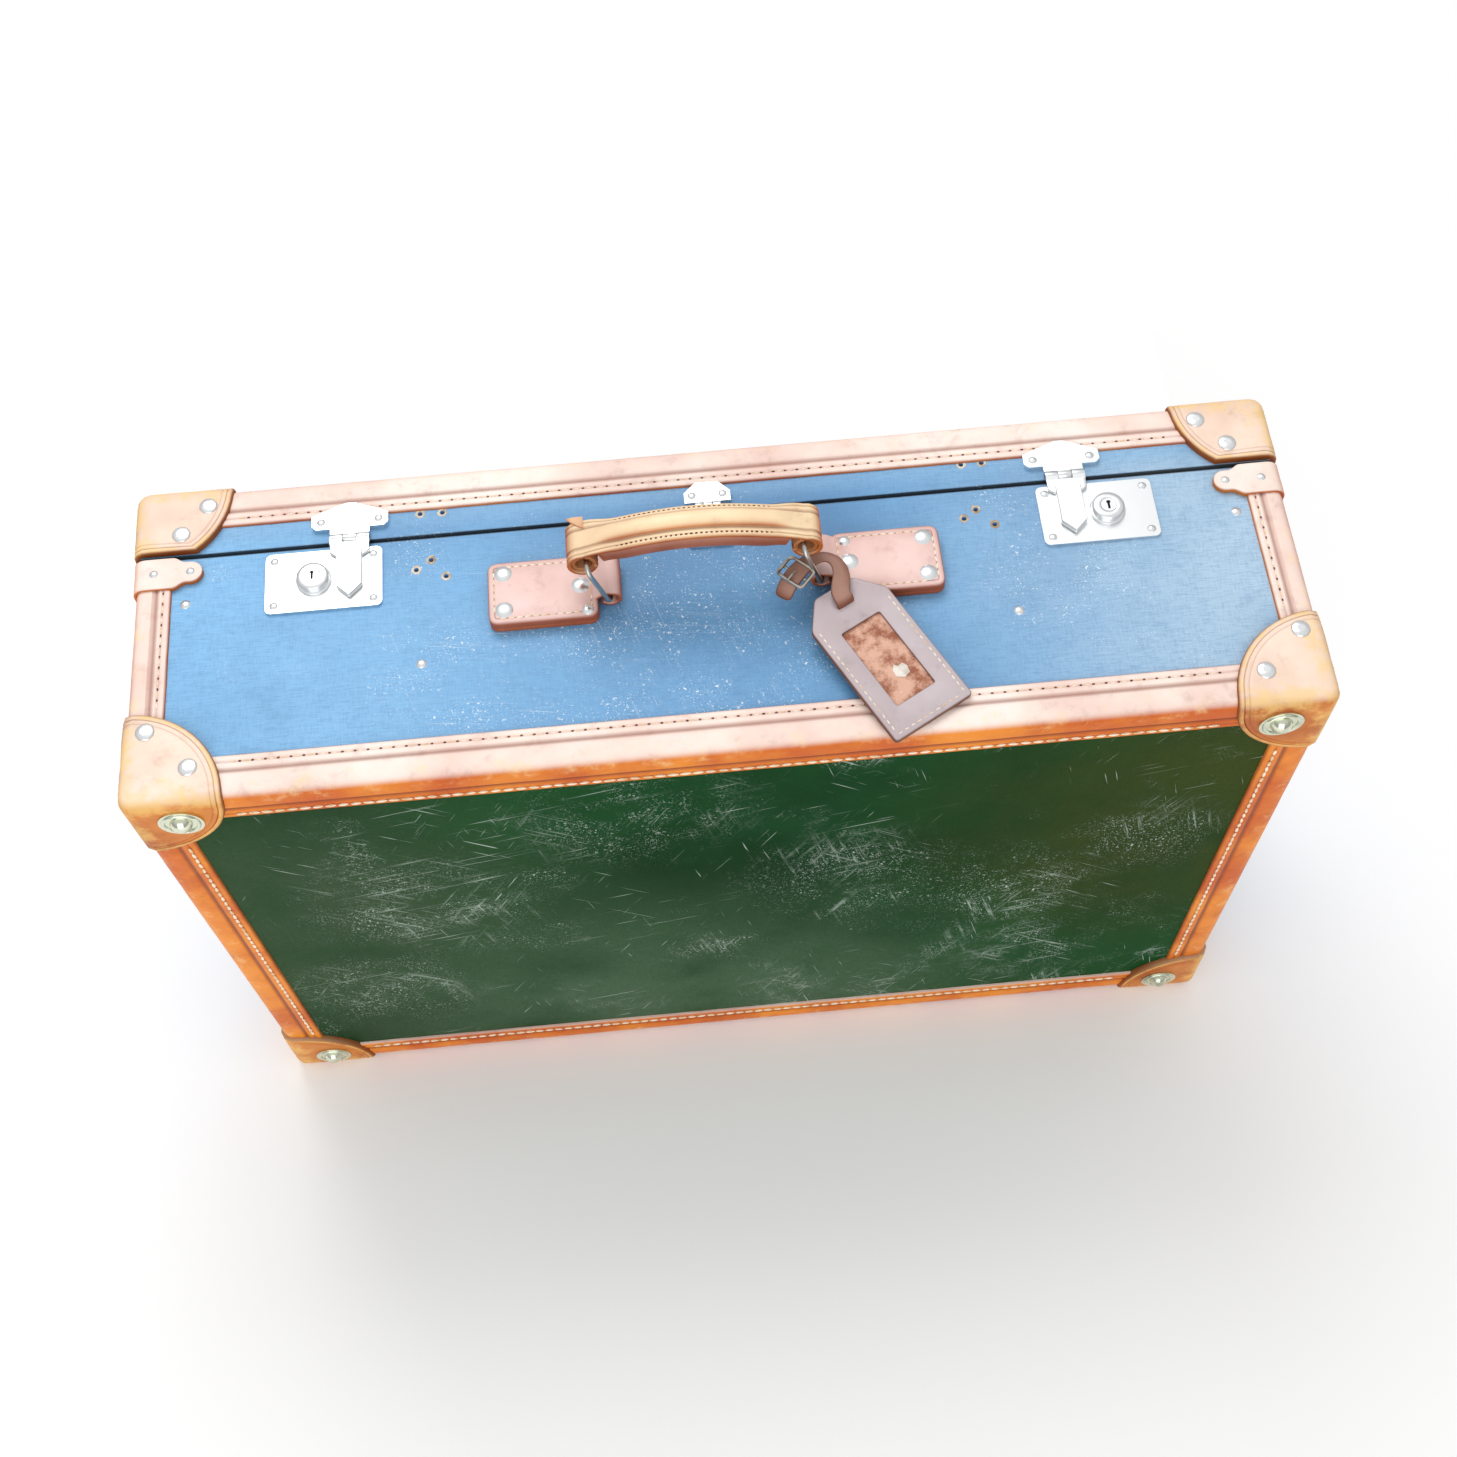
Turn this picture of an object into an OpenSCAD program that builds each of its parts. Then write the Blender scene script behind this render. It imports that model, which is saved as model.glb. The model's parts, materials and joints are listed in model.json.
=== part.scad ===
// Leather-bound fibre suitcase, standing on its hinge side with the handle up.
// X runs along the case, Y from the base panel to the lid panel, Z up to the handle.

/* [Case] */
// Width over the leather bindings
case_w = 664; // [560:1:760]
// Height over the leather bindings, hinge side to handle side
case_h = 438; // [360:1:520]
// Depth over the leather bindings, base panel to lid panel
case_d = 203; // [180:1:240]
// Depth of the lid from its panel to the middle of the seam
lid_d = 44.5; // [42:0.5:52]
// Width of the open seam between base and lid
seam_gap = 2.6; // [2.2:0.1:3.4]
// Thickness of the fibre boards
board_t = 3.5; // [3:0.1:4.5]
// Thickness of the lining sheets
lining_t = 0.8; // [0.6:0.1:1.2]

/* [Rim] */
// Thickness of the locating rim inside the mouth of the base
rim_t = 3; // [2:0.1:4]
// Reach of the rim down into the base
rim_in = 10; // [6:0.5:11]
// Reach of the rim up into the lid
rim_out = 8; // [5:0.5:12]
// Clearance between the rim and the lid walls
rim_clear = 1; // [0.8:0.1:1.6]

/* [Leather] */
// Thickness of the edge bindings
bind_t = 2; // [1.5:0.1:2.6]
// Width of the panel edge binding on each face
bind_w = 26; // [22:0.5:29]
// Width of the side edge binding on each face
side_bind_w = 21; // [17:0.5:25]
// Rounding of the bound edges
bind_r = 6; // [4:0.5:8]
// Thickness of a corner cap over the bindings
cap_t = 3; // [2.4:0.1:4]
// Reach of a corner cap from its corner
cap_reach = 55; // [50:0.5:62]
// Gap from the seam to the lid caps on the handle side
cap_gap = 0.8; // [0.4:0.1:2]
// Gap from the rims to the leather near the hinges
hinge_gap = 3; // [2.8:0.1:5]
// Length of a seam tab on each face
tab_l = 41; // [34:0.5:50]
// Width of a seam tab
tab_w = 21; // [18:0.5:24]
// Width of the tongue of a seam tab
tongue_w = 14; // [11:0.5:16]
// Thickness of a seam tab over the bindings
tab_t = 2; // [1.5:0.1:2.6]

/* [Rivets and feet] */
// Diameter of the corner cap rivets
cap_rivet_d = 11.5; // [9:0.5:13]
// Diameter of the small rivets
small_rivet_d = 5; // [4:0.2:6]
// Diameter of the wall studs
stud_d = 6; // [5:0.2:8]
// Height of the rivet heads
rivet_h = 1.6; // [1.2:0.1:2]
// Diameter of a foot
foot_d = 25; // [20:0.5:28]
// Height of a foot
foot_h = 6; // [5:0.1:8]
// Distance of a foot from the side of the case
foot_side = 28; // [24:0.5:30]
// Distance of a foot from the handle or hinge side
foot_end = 19.5; // [19:0.5:26]

/* [Locks] */
// Distance of a lock plate from the middle of the case
lock_x = 223.5; // [205:0.5:240]
// Length of a lock plate
plate_l = 67; // [62:0.5:72]
// Width of a lock plate
plate_w = 40; // [36:0.5:42]
// Thickness of a lock plate
plate_t = 2; // [1.6:0.1:2.4]
// Distance from the base rim to a lock plate
plate_gap = 3.4; // [3:0.1:6]
// Offset of the knob from the middle of the plate, away from the hasp
knob_x = 5.5; // [4:0.5:8]
// Diameter of the knob
knob_d = 20.5; // [18:0.5:21]
// Height of the knob
knob_h = 6; // [5:0.1:8]
// Travel of the knob
knob_travel = 6; // [4:0.5:7]
// Diameter of the key plug
plug_d = 9; // [7:0.5:10]
// Offset of the hasp from the middle of the plate, towards the handle
hasp_x = 15; // [14:0.5:17]
// Length of a hasp from its pin to its tip
hasp_l = 41; // [38:0.5:44]
// Width of a hasp at its pin
hasp_w = 23; // [20:0.5:25]
// Width of a hasp along its tongue
hasp_tongue_w = 15; // [12:0.5:16]
// Thickness of the hasp metal
hasp_t = 2; // [1.6:0.1:2.4]
// Width of a hasp bracket across its wings
wing_w = 44.5; // [40:0.5:50]
// Width of the middle catch
catch_w = 27; // [24:0.5:32]
// Length of the middle catch from its pin to its tip
catch_l = 20; // [18:0.5:24]

/* [Handle] */
// Distance of the pad loops from the middle of the case
loop_x = 60; // [54:0.5:64]
// Length of a handle pad
pad_l = 62; // [54:0.5:70]
// Width of a handle pad
pad_w = 41; // [38:0.5:44]
// Thickness of a handle pad
pad_t = 9; // [8:0.1:10]
// Distance from the base rim to a handle pad
pad_gap = 27; // [24:0.5:30]
// Diameter of the rolled loop on a pad
loop_d = 13; // [12:0.1:14]
// Length of the rolled loop
loop_l = 28; // [24:0.5:30]
// Diameter of the ring wire
wire_d = 3; // [2.6:0.1:3.4]
// Play of the ring wire in the leather loops
wire_play = 0.5; // [0.3:0.05:0.8]
// Distance between the two wires that a ring runs in
ring_l = 36; // [34:0.5:44]
// Lean of the rings at rest
ring_lean = 17; // [12:0.5:20]
// Width of the grip
grip_w = 20; // [17:0.5:22]
// Height of the grip
grip_h = 18; // [16:0.5:20]
// Rise of the grip over its ends
grip_rise = 12; // [5:0.5:13]
// Diameter of the rolled ends of the grip
eye_d = 15; // [13:0.5:16]
// Length of the rolled ends of the grip
eye_l = 24; // [20:0.5:27]
// Diameter of the large pad rivets
pad_rivet_d = 10.5; // [9:0.5:12]
// Diameter of the small pad rivets
pad_stud_d = 6.8; // [5:0.2:8]

/* [Luggage tag] */
// Length of the tag
tag_l = 95; // [86:0.5:97]
// Width of the tag
tag_w = 52; // [46:0.5:58]
// Thickness of each leather layer
tag_t = 2; // [1.6:0.1:2.4]
// Angle of the tag to the depth of the case
tag_turn = 29.5; // [24:0.5:32]
// Slope of the tag over the handle pad
tag_slope = 5.5; // [5.2:0.1:7]
// Width of the tag strap
strap_w = 11; // [9:0.5:12]
// Thickness of the tag strap
strap_t = 2; // [1.6:0.1:2.4]

/* [Hinges] */
// Distance of the outer hinges from the middle of the case
hinge_x = 190; // [150:1:230]
// Length of a hinge
hinge_l = 60; // [48:1:80]
// Reach of a hinge leaf from the pin
leaf_w = 26; // [20:0.5:30]
// Thickness of a hinge leaf
leaf_t = 1; // [0.8:0.05:1.2]
// Diameter of the hinge pins
pin_d = 2.4; // [2:0.1:2.6]

/* [Hidden] */
$fn = 48;
// Clearance of a running pin, of pieces that pass each other, and of cuts
pin_clear = 0.05;
run_clear = 0.3;
over = 1;

// Planes of the case over its bindings
total_d = foot_h + 2 * cap_t + case_d + rivet_h;
front_y = -total_d / 2 + foot_h + cap_t;
back_y = front_y + case_d;
mid_y = (front_y + back_y) / 2;
seam_y = back_y - lid_d;
base_rim_y = seam_y - seam_gap / 2;
lid_rim_y = seam_y + seam_gap / 2;
half_w = case_w / 2;
low_z = cap_t;
top_z = low_z + case_h;
mid_z = (low_z + top_z) / 2;

// Planes of the boards under the bindings
board_x = half_w - bind_t;
board_y0 = front_y + bind_t;
board_y1 = back_y - bind_t;
board_z0 = low_z + bind_t;
board_z1 = top_z - bind_t;
inner_x = board_x - board_t;
inner_z0 = board_z0 + board_t;
inner_z1 = board_z1 - board_t;
rim_y0 = base_rim_y - rim_in;

// Curves of a seam tab, its two rivets from the side of the case, and the wall studs from the middle and the seam
tab_curve = 3;
tab_rivet_x = 13;
tab_stud_x = 34;
outer_stud_x = 303;
outer_stud_y = 32;
inner_stud_x = 168.5;
inner_stud_y = 85;

// Lock plates, knobs and hasps
plate_y = base_rim_y - plate_gap - plate_w / 2;
plate_z = board_z1 + plate_t;
knob_at = lock_x + knob_x;
stem_d = 5;
slot_w = stem_d + 2 * run_clear;
knob_base_h = 2;
knob_top_d = knob_d - 3.5;
key_slot_l = 5.6;
key_slot_w = 1.4;
bolt_l = 36;
bolt_w = 9;
bolt_t = 3;
lock_wall = 1;
lock_box_l = bolt_l + 26;
lock_box_w = bolt_w + 10;
lock_box_h = bolt_t + 4;
lock_box_x = lock_x - hasp_x + 22.5;
spring_w = 4;
spring_t = 0.8;
spring_folds = 5;
knuckle_r = 2.6;
hasp_pin_d = 2.4;
hasp_pin_y = lid_rim_y + 0.7;
hasp_pin_z = board_z1 + knuckle_r + 0.1;
hasp_at = lock_x - hasp_x;
hasp_gap = 0.4;
bracket_t = 3.2;
// Heights over the pin of a hasp bracket: foot and top of its wings, and its peak
wing_low = 7;
wing_high = 16.5;
peak_high = 24.5;
peak_w = 5;
wing_cut = 2.5;

// Old screw holes, by their distances from the middle and from the seam
screw_hole_d = 2.8;
base_screw_holes = [[-170.6, -22.4], [-162, -16.4], [-153.5, -28.3],
    [146.6, -20.4], [154.2, -14.8], [163.6, -26.1]];
lid_screw_holes = [[-168, 16.3], [-155, 16], [150.2, 17.6], [162.3, 17.6]];

// Hinges at the bottom of the seam
hinge_r = 2.2;
hinge_z = hinge_r + 0.2;
knuckles = 5;
lid_leaf_w = lid_d - bind_w - 1.5;

// Handle linkage
loop_z = board_z1 + loop_d / 2 + 0.4;
pad_x0 = loop_x + loop_d / 2 + 0.5;
pad_y1 = base_rim_y - pad_gap;
pad_y0 = pad_y1 - pad_w;
pad_z = board_z1 + pad_t;
loop_y = pad_y1 - 2 - loop_l / 2;
leg_y = loop_l / 2 + wire_d / 2 + 1.2;
eye_dx = -ring_l * sin(ring_lean);
eye_z = loop_z + ring_l * cos(ring_lean);
grip_r = (loop_x * loop_x + grip_rise * grip_rise) / (2 * grip_rise);
grip_half = asin(loop_x / grip_r);
eye_half = asin((eye_d / 2 + run_clear) / grip_r);
grip_center_z = eye_z - grip_r * cos(grip_half);
flange_t = 2.2;

// Tag and its strap round the right ring
pivot_y = loop_y - leg_y;
tag_reach = 9;
tag_at = [loop_x + tag_reach * sin(tag_turn), pivot_y - tag_reach * cos(tag_turn)];
tag_drop = tag_l * sin(tag_slope);
tag_z = top_z + run_clear + tag_drop + 0.2;
tag_shoulder = 16;
tag_top_w = 26;
slot_at = 12;
window_w = 26;
window_l = 52;
window_at = 26;
card_t = 0.6;
band_r = 9;
band_z = tag_z + 2 * tag_t + 1.2;
buckle_wire = 2.2;
buckle_l = 20;
buckle_w = 15;
prong_d = 1.6;

leather = "sandybrown";
dark_leather = "saddlebrown";
cloth = "slategray";
metal = "silver";

// Box between two corners
module span(x, y, z) {
    translate([x[0], y[0], z[0]])
        cube([x[1] - x[0], y[1] - y[0], z[1] - z[0]]);
}

// Copies on the left and right
module both_sides() {
    for (side = [0, 1])
        mirror([side, 0, 0])
            children();
}

// Rectangle about the origin with round corners
module round_rect(w, h, r) {
    square([w - 2 * r, h], center = true);
    square([w, h - 2 * r], center = true);
    for (sx = [-1, 1], sy = [-1, 1])
        translate([sx * (w / 2 - r), sy * (h / 2 - r)])
            circle(r);
}

// Domed rivet head on the plane z = 0
module rivet(d, h) {
    r = (d * d / 4 + h * h) / (2 * h);
    intersection() {
        translate([0, 0, h - r])
            sphere(r, $fn = 128);
        translate([0, 0, h])
            cube([2 * d, 2 * d, 2 * h], center = true);
    }
}

// Round bar along X or Y about the origin
module bar_x(l, d) {
    rotate([0, 90, 0])
        cylinder(h = l, d = d, center = true);
}

module bar_y(l, d) {
    rotate([90, 0, 0])
        cylinder(h = l, d = d, center = true);
}

// The closed case over its bindings, grown by g, with edges of radius r
module case_block(g, r) {
    w = case_w + 2 * g;
    d = case_d + 2 * g;
    h = case_h + 2 * g;
    translate([0, mid_y, mid_z])
        intersection() {
            linear_extrude(h, center = true)
                round_rect(w, d, r);
            rotate([90, 0, 0])
                linear_extrude(d, center = true)
                    round_rect(w, h, r);
            rotate([0, 90, 0])
                linear_extrude(w, center = true)
                    round_rect(h, d, r);
        }
}

// The space that the boards fill
module board_block() {
    span([-board_x, board_x], [board_y0, board_y1], [board_z0, board_z1]);
}

// Old screw holes in the handle side, by their distances from the middle and from the seam
module screw_holes(places) {
    for (p = places)
        translate([p[0], seam_y + p[1], board_z1 - board_t / 2])
            cylinder(h = board_t + 2 * over, d = screw_hole_d, center = true);
}

// Slot under a knob, grown by g
module knob_slot(g) {
    w = slot_w + 2 * g;
    translate([knob_at, plate_y, 0])
        linear_extrude(top_z + over) {
            translate([knob_travel / 2, 0])
                square([knob_travel, w], center = true);
            for (x = [0, knob_travel])
                translate([x, 0])
                    circle(d = w);
        }
}

// Base boards
module base_panel() {
    color("darkgreen")
        span([-board_x, board_x], [board_y0, board_y0 + board_t], [board_z0, board_z1]);
}

module base_handle_wall() {
    color(cloth)
        difference() {
            span([-board_x, board_x], [board_y0 + board_t, base_rim_y], [inner_z1, board_z1]);
            screw_holes(base_screw_holes);
            both_sides()
                knob_slot(0.5);
        }
}

module base_hinge_wall() {
    color(cloth)
        span([-board_x, board_x], [board_y0 + board_t, base_rim_y], [board_z0, inner_z0]);
}

module base_left_wall() {
    color(cloth)
        span([-board_x, -inner_x], [board_y0 + board_t, base_rim_y], [inner_z0, inner_z1]);
}

module base_right_wall() {
    color(cloth)
        span([inner_x, board_x], [board_y0 + board_t, base_rim_y], [inner_z0, inner_z1]);
}

// Rim of three strips that locates the lid
module base_rim() {
    strip_x = inner_x - rim_t;
    strip_z = inner_z1 - rim_t;
    color("burlywood") {
        both_sides() {
            span([strip_x, inner_x], [rim_y0, base_rim_y], [inner_z0, inner_z1]);
            span([strip_x, inner_x - rim_clear], [base_rim_y - over, seam_y + rim_out],
                [inner_z0 + lining_t + rim_clear, inner_z1 - rim_clear]);
        }
        span([-strip_x, strip_x], [rim_y0, base_rim_y], [strip_z, inner_z1]);
        span([-strip_x, strip_x], [base_rim_y - over, seam_y + rim_out], [strip_z, inner_z1 - rim_clear]);
    }
}

module base_lining() {
    color("wheat")
        difference() {
            span([-inner_x, inner_x], [board_y0 + board_t, rim_y0], [inner_z0, inner_z1]);
            span([-inner_x + lining_t, inner_x - lining_t], [board_y0 + board_t + lining_t, rim_y0 + over],
                [inner_z0 + lining_t, inner_z1 - lining_t]);
            both_sides()
                lock_box_space(run_clear);
        }
}

// Leather bindings
module base_panel_binding() {
    color(leather)
        difference() {
            intersection() {
                case_block(0, bind_r);
                span([-case_w, case_w], [front_y - over, front_y + bind_w], [0, top_z + over]);
            }
            board_block();
            span([bind_w - half_w, half_w - bind_w], [front_y - over, board_y0 + over],
                [low_z + bind_w, top_z - bind_w]);
        }
}

module base_side_bindings() {
    color(leather)
        difference() {
            intersection() {
                case_block(0, bind_r);
                both_sides()
                    for (z = [low_z, top_z - side_bind_w])
                        span([half_w - side_bind_w, half_w], [front_y + bind_w, base_rim_y],
                            [z, z + side_bind_w]);
            }
            board_block();
        }
}

module lid_panel_binding() {
    color(leather)
        difference() {
            intersection() {
                case_block(0, bind_r);
                span([-case_w, case_w], [back_y - bind_w, back_y + over], [0, top_z + over]);
            }
            board_block();
            span([bind_w - half_w, half_w - bind_w], [board_y1 - over, back_y + over],
                [low_z + bind_w, top_z - bind_w]);
        }
}

// Corner cap at one corner of the case
module cap(side, y, z) {
    color(leather)
        difference() {
            intersection() {
                case_block(cap_t, bind_r + cap_t);
                translate([side * half_w, y, z])
                    sphere(cap_reach);
            }
            board_block();
            children();
        }
}

module base_cap(side, z) {
    cap(side, front_y, z) {
        base_panel_binding();
        base_side_bindings();
    }
}

module lid_cap(side, z, gap) {
    cap(side, back_y, z) {
        lid_panel_binding();
        span([-case_w, case_w], [front_y, lid_rim_y + gap], [-over, top_z + 2 * cap_t]);
    }
}

module base_cap_top_left() {
    base_cap(-1, top_z);
}

module base_cap_top_right() {
    base_cap(1, top_z);
}

module base_cap_bottom_left() {
    base_cap(-1, low_z);
}

module base_cap_bottom_right() {
    base_cap(1, low_z);
}

module lid_cap_top_left() {
    lid_cap(-1, top_z, cap_gap);
}

module lid_cap_top_right() {
    lid_cap(1, top_z, cap_gap);
}

module lid_cap_bottom_left() {
    lid_cap(-1, low_z, hinge_gap);
}

module lid_cap_bottom_right() {
    lid_cap(1, low_z, hinge_gap);
}

// Cap rivet: a low dome of flat facets, in tiers of (share of the radius, share of the height)
module cap_rivet() {
    tiers = [[1, 0], [0.84, 0.62], [0.42, 1]];
    sides = 16;
    top = len(tiers) - 1;
    ring = [for (i = [0:sides - 1]) cap_rivet_d / 2 * [cos(i * 360 / sides), sin(i * 360 / sides)]];
    bands = [for (t = [0:top - 1], i = [0:sides - 1])
        [t * sides + i, (t + 1) * sides + i, (t + 1) * sides + (i + 1) % sides, t * sides + (i + 1) % sides]];
    polyhedron(
        points = [for (tier = tiers, p = ring) [tier[0] * p[0], tier[0] * p[1], tier[1] * rivet_h]],
        faces = concat(bands, [[for (i = [0:sides - 1]) i]],
            [[for (i = [sides - 1:-1:0]) top * sides + i]]));
}

// Rivets of the corner caps, as distances from the corner
module base_cap_rivets() {
    color(metal)
        both_sides() {
            for (p = [[12, 42.5], [36.5, 18.5]])
                translate([half_w - p[0], front_y + p[1], top_z + cap_t])
                    cap_rivet();
            for (p = [[12, 42.5], [36.5, 18.5]], end = [0, 1])
                translate([half_w + cap_t, front_y + p[1], end == 0 ? low_z + p[0] : top_z - p[0]])
                    rotate([0, 90, 0])
                        cap_rivet();
        }
}

module lid_cap_rivets() {
    color(metal)
        both_sides() {
            for (p = [[26, 31.5], [41, 13]])
                translate([half_w - p[0], back_y - p[1], top_z + cap_t])
                    cap_rivet();
            for (p = [[26, 31.5], [41, 13]], end = [0, 1])
                translate([half_w + cap_t, back_y - p[1], end == 0 ? low_z + p[0] : top_z - p[0]])
                    rotate([0, 90, 0])
                        cap_rivet();
            for (z = [low_z + foot_end, top_z - foot_end])
                translate([half_w - foot_side, back_y + cap_t, z])
                    rotate([-90, 0, 0])
                        cap_rivet();
        }
}

// Dished feet with a flat-topped dome
module base_feet() {
    dome_d = 13;
    color(metal)
        both_sides()
            for (z = [low_z + foot_end, top_z - foot_end])
                translate([half_w - foot_side, front_y - cap_t, z])
                    rotate([90, 0, 0]) {
                        cylinder(h = 1.2, d = foot_d);
                        rotate_extrude()
                            translate([foot_d / 2 - 2.8, 1.2])
                                circle(1.1);
                        intersection() {
                            rivet(dome_d, foot_h + 0.4);
                            cylinder(h = foot_h, d = dome_d);
                        }
                    }
}

module wall_studs() {
    color(metal)
        both_sides()
            for (p = [[outer_stud_x, outer_stud_y], [inner_stud_x, inner_stud_y]])
                translate([p[0], seam_y - p[1], board_z1])
                    rivet(stud_d, rivet_h * 0.75);
}

// Outline of a seam tab from the edge of the case inwards
module tab_outline() {
    wide_l = tab_l - tongue_w - 2;
    intersection() {
        translate([0, -tab_w])
            square([tab_l, tab_w]);
        offset(r = -tab_curve)
            offset(r = 2 * tab_curve)
                offset(r = -tab_curve) {
                    translate([-wide_l, -tab_w])
                        square([2 * wide_l, tab_w]);
                    translate([0, -tab_w / 2 - tongue_w / 2])
                        square([tab_l - tongue_w / 2, tongue_w]);
                    translate([tab_l - tongue_w / 2, -tab_w / 2])
                        circle(d = tongue_w);
                }
    }
}

// Leather tab over the end of the upper right side binding, up to the given rim
module seam_tab(rim) {
    difference() {
        intersection() {
            case_block(tab_t, bind_r + tab_t);
            union() {
                translate([half_w + tab_t, rim, top_z - bind_r])
                    mirror([1, 0, 0])
                        linear_extrude(2 * bind_r)
                            tab_outline();
                translate([half_w - bind_r, rim, top_z + tab_t])
                    rotate([0, 90, 0])
                        linear_extrude(2 * bind_r)
                            tab_outline();
            }
        }
        board_block();
        base_side_bindings();
    }
}

module seam_tabs() {
    color(leather)
        both_sides() {
            seam_tab(base_rim_y - run_clear);
            translate([0, 0, 2 * mid_z])
                mirror([0, 0, 1])
                    seam_tab(base_rim_y - hinge_gap);
        }
}

module seam_tab_rivets() {
    color(metal)
        both_sides()
            for (x = [tab_rivet_x, tab_stud_x]) {
                translate([half_w + tab_t - x, base_rim_y - run_clear - tab_w / 2, top_z + tab_t])
                    rivet(small_rivet_d, 1);
                translate([half_w + tab_t, base_rim_y - run_clear - tab_w / 2, top_z + tab_t - x])
                    rotate([0, 90, 0])
                        rivet(small_rivet_d, 1);
            }
}

// Lid boards
module lid_panel() {
    color("darkgreen")
        span([-board_x, board_x], [board_y1 - board_t, board_y1], [board_z0, board_z1]);
}

module lid_handle_wall() {
    color(cloth)
        difference() {
            span([-board_x, board_x], [lid_rim_y, board_y1 - board_t], [inner_z1, board_z1]);
            screw_holes(lid_screw_holes);
        }
}

module lid_hinge_wall() {
    color(cloth)
        span([-board_x, board_x], [lid_rim_y, board_y1 - board_t], [board_z0, inner_z0]);
}

module lid_left_wall() {
    color(cloth)
        span([-board_x, -inner_x], [lid_rim_y, board_y1 - board_t], [inner_z0, inner_z1]);
}

module lid_right_wall() {
    color(cloth)
        span([inner_x, board_x], [lid_rim_y, board_y1 - board_t], [inner_z0, inner_z1]);
}

module lid_lining() {
    color("wheat")
        difference() {
            span([-inner_x, inner_x], [seam_y + rim_out + rim_clear, board_y1 - board_t],
                [inner_z0, inner_z1]);
            span([-inner_x + lining_t, inner_x - lining_t], [seam_y, board_y1 - board_t - lining_t],
                [inner_z0 + lining_t, inner_z1 - lining_t]);
        }
}

// One hinge knuckle of the given place along the pin
module knuckle(i) {
    l = hinge_l / knuckles;
    translate([(i - (knuckles - 1) / 2) * l, 0, 0])
        bar_x(l - 2 * run_clear, 2 * hinge_r);
}

// Leaf of width w towards -Y with the knuckles listed
module hinge_leaf(w, places, cut) {
    l = hinge_l / knuckles;
    difference() {
        union() {
            difference() {
                span([-hinge_l / 2, hinge_l / 2], [-w, 0], [board_z0 - leaf_t - hinge_z, board_z0 - hinge_z]);
                for (i = cut)
                    translate([(i - (knuckles - 1) / 2) * l, 0, 0])
                        cube([l + 2 * run_clear, 2 * (hinge_r + run_clear), 4 * hinge_r], center = true);
            }
            for (i = places) {
                knuckle(i);
                translate([(i - (knuckles - 1) / 2) * l, -hinge_r / 2, (board_z0 - hinge_z) / 2])
                    cube([l - 2 * run_clear, hinge_r, board_z0 - hinge_z], center = true);
            }
        }
        bar_x(hinge_l + over, pin_d + 2 * pin_clear);
    }
}

module at_hinges() {
    for (x = [-hinge_x, 0, hinge_x])
        translate([x, seam_y, hinge_z])
            children();
}

module hinge_base_leaves() {
    color(metal)
        at_hinges()
            hinge_leaf(leaf_w, [0, 2, 4], [1, 3]);
}

module hinge_lid_leaves() {
    color(metal)
        at_hinges()
            mirror([0, 1, 0])
                hinge_leaf(lid_leaf_w, [1, 3], [0, 2, 4]);
}

module hinge_pins() {
    color(metal)
        at_hinges()
            bar_x(hinge_l, pin_d);
}

// Lock plates with a slot for the knob
module lock_plates() {
    color(metal)
        both_sides()
            difference() {
                translate([lock_x, plate_y, board_z1])
                    linear_extrude(plate_t)
                        round_rect(plate_l, plate_w, 3.5);
                knob_slot(0);
            }
}

module lock_plate_rivets() {
    color(metal)
        both_sides()
            for (x = [-1, 1], y = [-1, 1])
                translate([lock_x + x * (plate_l / 2 - 5), plate_y + y * (plate_w / 2 - 5), plate_z])
                    rivet(small_rivet_d, 1);
}

// Space of a lock box under the handle side, grown by g
module lock_box_space(g) {
    span([lock_box_x - lock_box_l / 2 - g, lock_box_x + lock_box_l / 2 + g],
        [plate_y - lock_box_w / 2 - g, plate_y + lock_box_w / 2 + g],
        [inner_z1 - lock_box_h - g, inner_z1]);
}

module lock_boxes() {
    color("gray")
        both_sides()
            difference() {
                lock_box_space(0);
                translate([0, 0, lock_wall])
                    lock_box_space(-lock_wall);
                span([lock_box_x - lock_box_l / 2 + lock_wall, lock_box_x + lock_box_l / 2 - lock_wall],
                    [plate_y - lock_box_w / 2 + lock_wall, plate_y + lock_box_w / 2 - lock_wall],
                    [inner_z1 - 2 * lock_wall, inner_z1 + over]);
            }
}

// Height of the bolts under the handle side, and their end at the spring
bolt_z = inner_z1 - run_clear - bolt_t;
bolt_x1 = knob_at + bolt_l / 2;

// Folded return springs between the bolts and the outer end of the boxes
module lock_springs() {
    x0 = bolt_x1 + 0.2;
    x1 = lock_box_x + lock_box_l / 2 - lock_wall;
    step = (x1 - x0 - spring_t) / spring_folds;
    reach = bolt_w / 2;
    color(metal)
        both_sides()
            translate([x0, plate_y, bolt_z])
                linear_extrude(spring_w - 1.5) {
                    for (i = [0 : spring_folds])
                        translate([i * step, -reach])
                            square([spring_t, 2 * reach]);
                    for (i = [0 : spring_folds - 1])
                        translate([i * step, i % 2 == 0 ? -reach : reach - spring_t])
                            square([step + spring_t, spring_t]);
                }
}

// Sliding knob with the stem that moves the bolt
module knob_piece() {
    color(metal)
        difference() {
            translate([knob_at, plate_y, 0]) {
                translate([0, 0, plate_z + 0.1])
                    cylinder(h = knob_base_h, d = knob_d);
                translate([0, 0, plate_z + 0.1 + knob_base_h - over])
                    cylinder(h = knob_h - knob_base_h + over, d = knob_top_d);
                translate([0, 0, bolt_z + bolt_t])
                    cylinder(h = plate_z - bolt_z - bolt_t + over, d = stem_d);
            }
            translate([knob_at, plate_y, plate_z + 0.1 + knob_base_h])
                cylinder(h = knob_h, d = plug_d + 2 * pin_clear);
        }
}

module knob_left() {
    mirror([1, 0, 0])
        knob_piece();
}

module knob_right() {
    knob_piece();
}

module bolt_piece() {
    color("gray")
        translate([knob_at, plate_y, bolt_z + bolt_t / 2])
            cube([bolt_l, bolt_w, bolt_t], center = true);
}

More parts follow.
